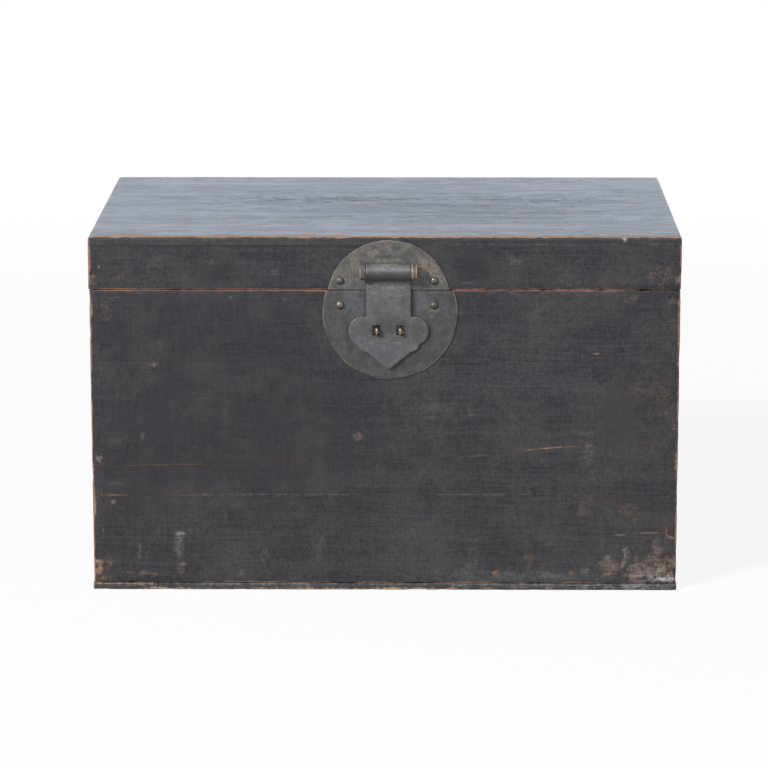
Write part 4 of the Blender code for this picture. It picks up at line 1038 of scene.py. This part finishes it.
nailMarks = [markNail(name, nailShade) for name in lockNails]
brassPieces = {
    "upperPlate": {"dark": (0.068, 0.065, 0.060), "mid": (0.172, 0.166, 0.156), "khaki": (0.180, 0.162, 0.124),
                   "rim": (0.30, 0.20, 0.14), "rimWidth": 0.0012, "marks": upperMarks},
    "lowerPlate": {"dark": (0.044, 0.043, 0.043), "mid": (0.102, 0.100, 0.099), "khaki": (0.098, 0.087, 0.073),
                   "rim": (0.34, 0.24, 0.16), "rimShare": 0.75, "rimWidth": 0.0010, "marks": lowerMarks},
    "hasp": {"dark": (0.074, 0.075, 0.075), "mid": (0.150, 0.150, 0.148), "khaki": (0.136, 0.128, 0.108),
             "rim": (0.22, 0.195, 0.16), "rimShare": 0.35, "marks": haspMarks},
    "knuckle": {"dark": (0.075, 0.073, 0.068), "mid": (0.165, 0.158, 0.142), "khaki": (0.20, 0.17, 0.13),
                "rim": (0.44, 0.26, 0.16), "rimWidth": 0.0017, "rimShare": 0.85, "roughness": (0.28, 0.42)},
    "goldNail": {"dark": (0.13, 0.11, 0.085), "mid": (0.27, 0.235, 0.175), "khaki": (0.26, 0.20, 0.13),
                 "rim": (0.4, 0.32, 0.22), "roughness": (0.28, 0.40), "metallic": 0.45, "marks": nailMarks},
    "dullNail": {"dark": (0.085, 0.080, 0.070), "mid": (0.175, 0.165, 0.140), "khaki": (0.17, 0.15, 0.11),
                 "rim": (0.3, 0.26, 0.2), "roughness": (0.30, 0.42), "metallic": 0.45, "marks": nailMarks},
    "goldStaple": {"dark": (0.24, 0.18, 0.10), "mid": (0.62, 0.48, 0.28), "khaki": (0.52, 0.37, 0.19),
                   "rim": (0.7, 0.54, 0.32), "roughness": (0.24, 0.38), "metallic": 1.0},
    "copperStaple": {"dark": (0.20, 0.14, 0.10), "mid": (0.46, 0.34, 0.25), "khaki": (0.42, 0.27, 0.17),
                     "rim": (0.62, 0.42, 0.28), "roughness": (0.26, 0.4), "metallic": 1.0},
}
brass = {key: makeBrass(key + "Brass", piece) for key, piece in brassPieces.items()}

# sheet metal, with eased edges and hammered faces; a grid is cut where the hammering should show
sheetSetup = {"sharpAngle": 40, "smoothAngle": 50, "easeSteps": 2, "hammer": 0.00012, "hammerScale": 70.0,
              "splitReach": 0.0012}
sheetCuts = {
    "plain": {"ease": 0.0004}, "upperPlate": {"ease": 0.0004, "grid": 0.0067, "leastSpan": 0.03},
    "lowerPlate": {"ease": 0.0004, "grid": 0.006, "leastSpan": 0.03},
    "knuckle": {"ease": 0.0006, "grid": 0.0016, "leastSpan": 0.006},
    "leaf": {"ease": 0.0003, "grid": 0.006, "leastSpan": 0.02},
    "eye": {"ease": 0.0005}, "washer": {"ease": 0.0003}, "haspPin": {"ease": 0.0012},
}


def dressSheet(name, finish, cut):
    setup, cut = sheetSetup, sheetCuts[cut]
    low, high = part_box(name)
    shape = nodeShape(name)
    edges = sharpEdges(shape, setup["sharpAngle"])
    # the edges along the lock's split are never touched by a hand, so they stay dark
    lines = straightEnds([e for e in edges
                          if any(abs(v.co.z - splitHeight) > setup["splitReach"] for v in e.verts)])
    easeEdges(shape, edges, cut["ease"], setup["easeSteps"])
    if "grid" in cut:
        cutGrid(shape, low, high, cut["grid"], cut["leastSpan"])
    distances = edgeDistances(shape, lines)
    hammer(shape, setup["hammer"], setup["hammerScale"])
    finishPiece(name + "_worn", shape, [brass[finish]], name, setup["smoothAngle"], distances)


dressSheet("lock_plate_upper", "upperPlate", "upperPlate")
dressSheet("lock_plate_lower", "lowerPlate", "lowerPlate")
for side in ("left", "right"):
    dressSheet(f"hasp_knuckle_{side}", "knuckle", "knuckle")
    for leaf in ("lid_leaf", "body_leaf"):
        dressSheet(f"{side}_hinge_{leaf}", "lowerPlate", "leaf")
    dressSheet(f"{side}_hinge_pin", "dullNail", "plain")
    for end in ("front", "rear"):
        dressSheet(f"{side}_handle_eye_{end}", "knuckle", "eye")
        dressSheet(f"{side}_handle_washer_{end}", "upperPlate", "washer")
dressSheet("hasp_pin", "copperStaple", "haspPin")
print("sheet metal dressed")

# hasp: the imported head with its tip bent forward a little, and its strap rolled up into the barrel
haspSetup = {   # angles in degrees
    "cut": 0.4885, "barrelY": -0.3051, "barrelZ": 0.5019, "roll": 312, "rollSteps": 46, "rollGrowth": 0.04,
    "growthOver": 70, "bendFrom": 0.394, "bend": 4.0, "ease": 0.0006, "grid": 0.005, "leastSpan": 0.012,
    "hammer": 0.00018, "hammerScale": 60, "smoothAngle": 42,
}


def makeHasp(setup):
    shape = nodeShape("hasp")
    low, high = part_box("hasp")
    barrelY, barrelZ = setup["barrelY"], setup["barrelZ"]
    bmesh.ops.bisect_plane(shape, geom=wholeShape(shape), plane_co=(0, 0, setup["cut"]), plane_no=(0, 0, 1),
                           clear_outer=True, dist=hair)
    edges = sharpEdges(shape, sheetSetup["sharpAngle"])
    lines = straightEnds(edges)
    easeEdges(shape, edges, setup["ease"], sheetSetup["easeSteps"])
    cutGrid(shape, low, (high.x, high.y, setup["cut"]), setup["grid"], setup["leastSpan"])
    distances = edgeDistances(shape, lines)
    slope = math.tan(math.radians(setup["bend"]))
    for vert in shape.verts:
        vert.co.y -= max(0.0, setup["bendFrom"] - vert.co.z) * slope

    # the open top of the strap goes up to the axis and round it
    rim = [e for e in shape.edges if e.is_boundary]
    grown = bmesh.ops.extrude_edge_only(shape, edges=rim)["geom"]
    for vert in onlyKind(grown, bmesh.types.BMVert):
        vert.co.z = barrelZ
    last = [e for e in onlyKind(grown, bmesh.types.BMEdge) if all(abs(v.co.z - barrelZ) < hair for v in e.verts)]
    before = len(shape.verts)
    spun = bmesh.ops.spin(shape, geom=last, cent=(0, barrelY, barrelZ), axis=(1, 0, 0),
                          angle=math.radians(setup["roll"]), steps=setup["rollSteps"], use_merge=False)
    shape.verts.ensure_lookup_table()
    for vert in shape.verts[before:]:   # the roll widens a little as it goes round
        across, up = vert.co.y - barrelY, vert.co.z - barrelZ
        turned = math.degrees(math.atan2(up, across)) % 360
        factor = 1 + setup["rollGrowth"] * min(1.0, turned / setup["growthOver"])
        vert.co.y = barrelY + across * factor
        vert.co.z = barrelZ + up * factor
    bmesh.ops.contextual_create(shape, geom=onlyKind(spun["geom_last"], bmesh.types.BMEdge))
    bmesh.ops.recalc_face_normals(shape, faces=shape.faces)
    distances = np.concatenate([distances, np.full(len(shape.verts) - len(distances), farthest)])
    hammer(shape, setup["hammer"], setup["hammerScale"])
    finishPiece("hasp_worn", shape, [brass["hasp"]], "hasp", setup["smoothAngle"], distances)


makeHasp(haspSetup)
print("hasp made")

# domed nails, each hammered a little differently
nailSetup = {"shank": 0.0018, "domeSteps": 7, "turns": 22, "dents": 0.09, "dentScale": 330, "driftStep": 5.3,
             "turnRange": (0, 6.28), "smoothAngle": 60}
lockNail = {"radius": 0.0065, "height": 0.005, "side": -1, "firstSeed": 3}   # side: where along y the head looks
hingeNail = {"radius": 0.0045, "height": 0.0032, "side": 1, "firstSeed": 20}


def makeNail(name, finish, head, index):
    setup, seed = nailSetup, head["firstSeed"] + index
    low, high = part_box(name)
    under = (low.y if head["side"] < 0 else high.y) - head["side"] * head["height"]
    shankLength = high.y - low.y - head["height"]
    shape = bmesh.new()
    angles = [math.pi / 2 * i / setup["domeSteps"] for i in range(setup["domeSteps"] + 1)]
    points = [(head["radius"] * math.sin(a), head["height"] * math.cos(a)) for a in angles]
    points += [(setup["shank"], 0), (setup["shank"], -shankLength), (0, -shankLength)]
    row = [shape.verts.new((radius, 0, height)) for radius, height in points]
    edges = [shape.edges.new(pair) for pair in zip(row, row[1:])]
    bmesh.ops.spin(shape, geom=row + edges, cent=(0, 0, 0), axis=(0, 0, 1), angle=2 * math.pi,
                   steps=setup["turns"], use_merge=True)
    bmesh.ops.remove_doubles(shape, verts=shape.verts, dist=hair)
    bmesh.ops.recalc_face_normals(shape, faces=shape.faces)
    drift = Vector((seed * setup["driftStep"], 0, 0))
    for vert in shape.verts:
        if vert.co.z > weld:
            vert.co *= 1 - setup["dents"] * evenNoise(vert.co * setup["dentScale"] + drift)
    turn = Matrix.Rotation(math.radians(-90 * head["side"]), 4, "X")
    turn = turn @ Matrix.Rotation(random.Random(seed).uniform(*setup["turnRange"]), 4, "Z")
    place = Matrix.Translation(((low.x + high.x) / 2, under, (low.z + high.z) / 2))
    bmesh.ops.transform(shape, verts=shape.verts, matrix=place @ turn)
    finishPiece(name + "_domed", shape, [brass[finish]], name, setup["smoothAngle"])


for index, name in enumerate(lockNails):
    makeNail(name, "goldNail" if name == "lock_nail_lower_left" else "dullNail", lockNail, index)
hingeNails = sorted(n for n in cadNodes if "_hinge_" in n and "_nail_" in n)
for index, name in enumerate(hingeNails):
    makeNail(name, "dullNail", hingeNail, index)
print("nails made:", len(lockNails) + len(hingeNails))

# round bars: staples and the bails of the handles
barSetup = {"sides": 18, "bendSteps": 10, "smoothAngle": 50}
bailSetup = {"bar": 0.0035, "half": 0.056, "drop": 0.046, "end": 0.034, "topBend": 0.006, "lowBend": 0.016}


def growBar(shape, edges, move):
    grown = bmesh.ops.extrude_edge_only(shape, edges=edges)["geom"]
    ends = onlyKind(grown, bmesh.types.BMVert)
    bmesh.ops.translate(shape, verts=ends, vec=move)
    return [e for e in onlyKind(grown, bmesh.types.BMEdge) if all(v in ends for v in e.verts)]


def bendBar(shape, edges, centre, axis, degrees):
    spun = bmesh.ops.spin(shape, geom=edges, cent=centre, axis=axis, angle=math.radians(degrees),
                          steps=barSetup["bendSteps"], use_merge=False)
    return onlyKind(spun["geom_last"], bmesh.types.BMEdge)


def makeBar(name, finish, radius, start, path):
    # a disc that faces along y, drawn out along its path: a move, or a bend as centre, axis and degrees
    shape = bmesh.new()
    turn = Matrix.Translation(start) @ Matrix.Rotation(math.radians(90), 4, "X")
    made = bmesh.ops.create_circle(shape, cap_ends=True, segments=barSetup["sides"], radius=radius, matrix=turn)
    edges = list(made["verts"][0].link_faces[0].edges)
    for step, *bend in path:
        edges = bendBar(shape, edges, step, *bend) if bend else growBar(shape, edges, step)
    bmesh.ops.contextual_create(shape, geom=edges)
    bmesh.ops.recalc_face_normals(shape, faces=shape.faces)
    finishPiece(name + "_bent", shape, [brass[finish]], name, barSetup["smoothAngle"])


def makeStaple(name, finish):
    low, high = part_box(name)
    x, z = (low.x + high.x) / 2, (low.z + high.z) / 2
    bar = (high.x - low.x) / 2
    bend = (high.z - low.z) / 2 - bar
    turn = low.y + bar + bend
    path = [((0, turn - high.y, 0),), ((x, turn, z), (-1, 0, 0), 180), ((0, high.y - turn, 0),)]
    makeBar(name, finish, bar, (x, high.y, z - bend), path)


def makeBail(name, finish, setup):
    low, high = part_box(name)
    x, top = (low.x + high.x) / 2, high.z - setup["bar"]
    half, topBend, lowBend = setup["half"], setup["topBend"], setup["lowBend"]
    reach, leg = half - topBend - setup["end"], setup["drop"] - topBend - lowBend
    upper, lower = top - topBend, top - setup["drop"] + lowBend
    quarter = ((1, 0, 0), 90)
    path = [
        ((0, -reach, 0),), ((x, topBend - half, upper), *quarter), ((0, 0, -leg),),
        ((x, lowBend - half, lower), *quarter), ((0, 2 * (half - lowBend), 0),),
        ((x, half - lowBend, lower), *quarter), ((0, 0, leg),),
        ((x, half - topBend, upper), *quarter), ((0, -reach, 0),),
    ]
    makeBar(name, finish, setup["bar"], (x, -setup["end"], top), path)


makeStaple("staple_left", "goldStaple")
makeStaple("staple_right", "copperStaple")
for side in ("left", "right"):
    makeBail(f"{side}_handle_bail", "knuckle", bailSetup)
print("staples and handles bent")
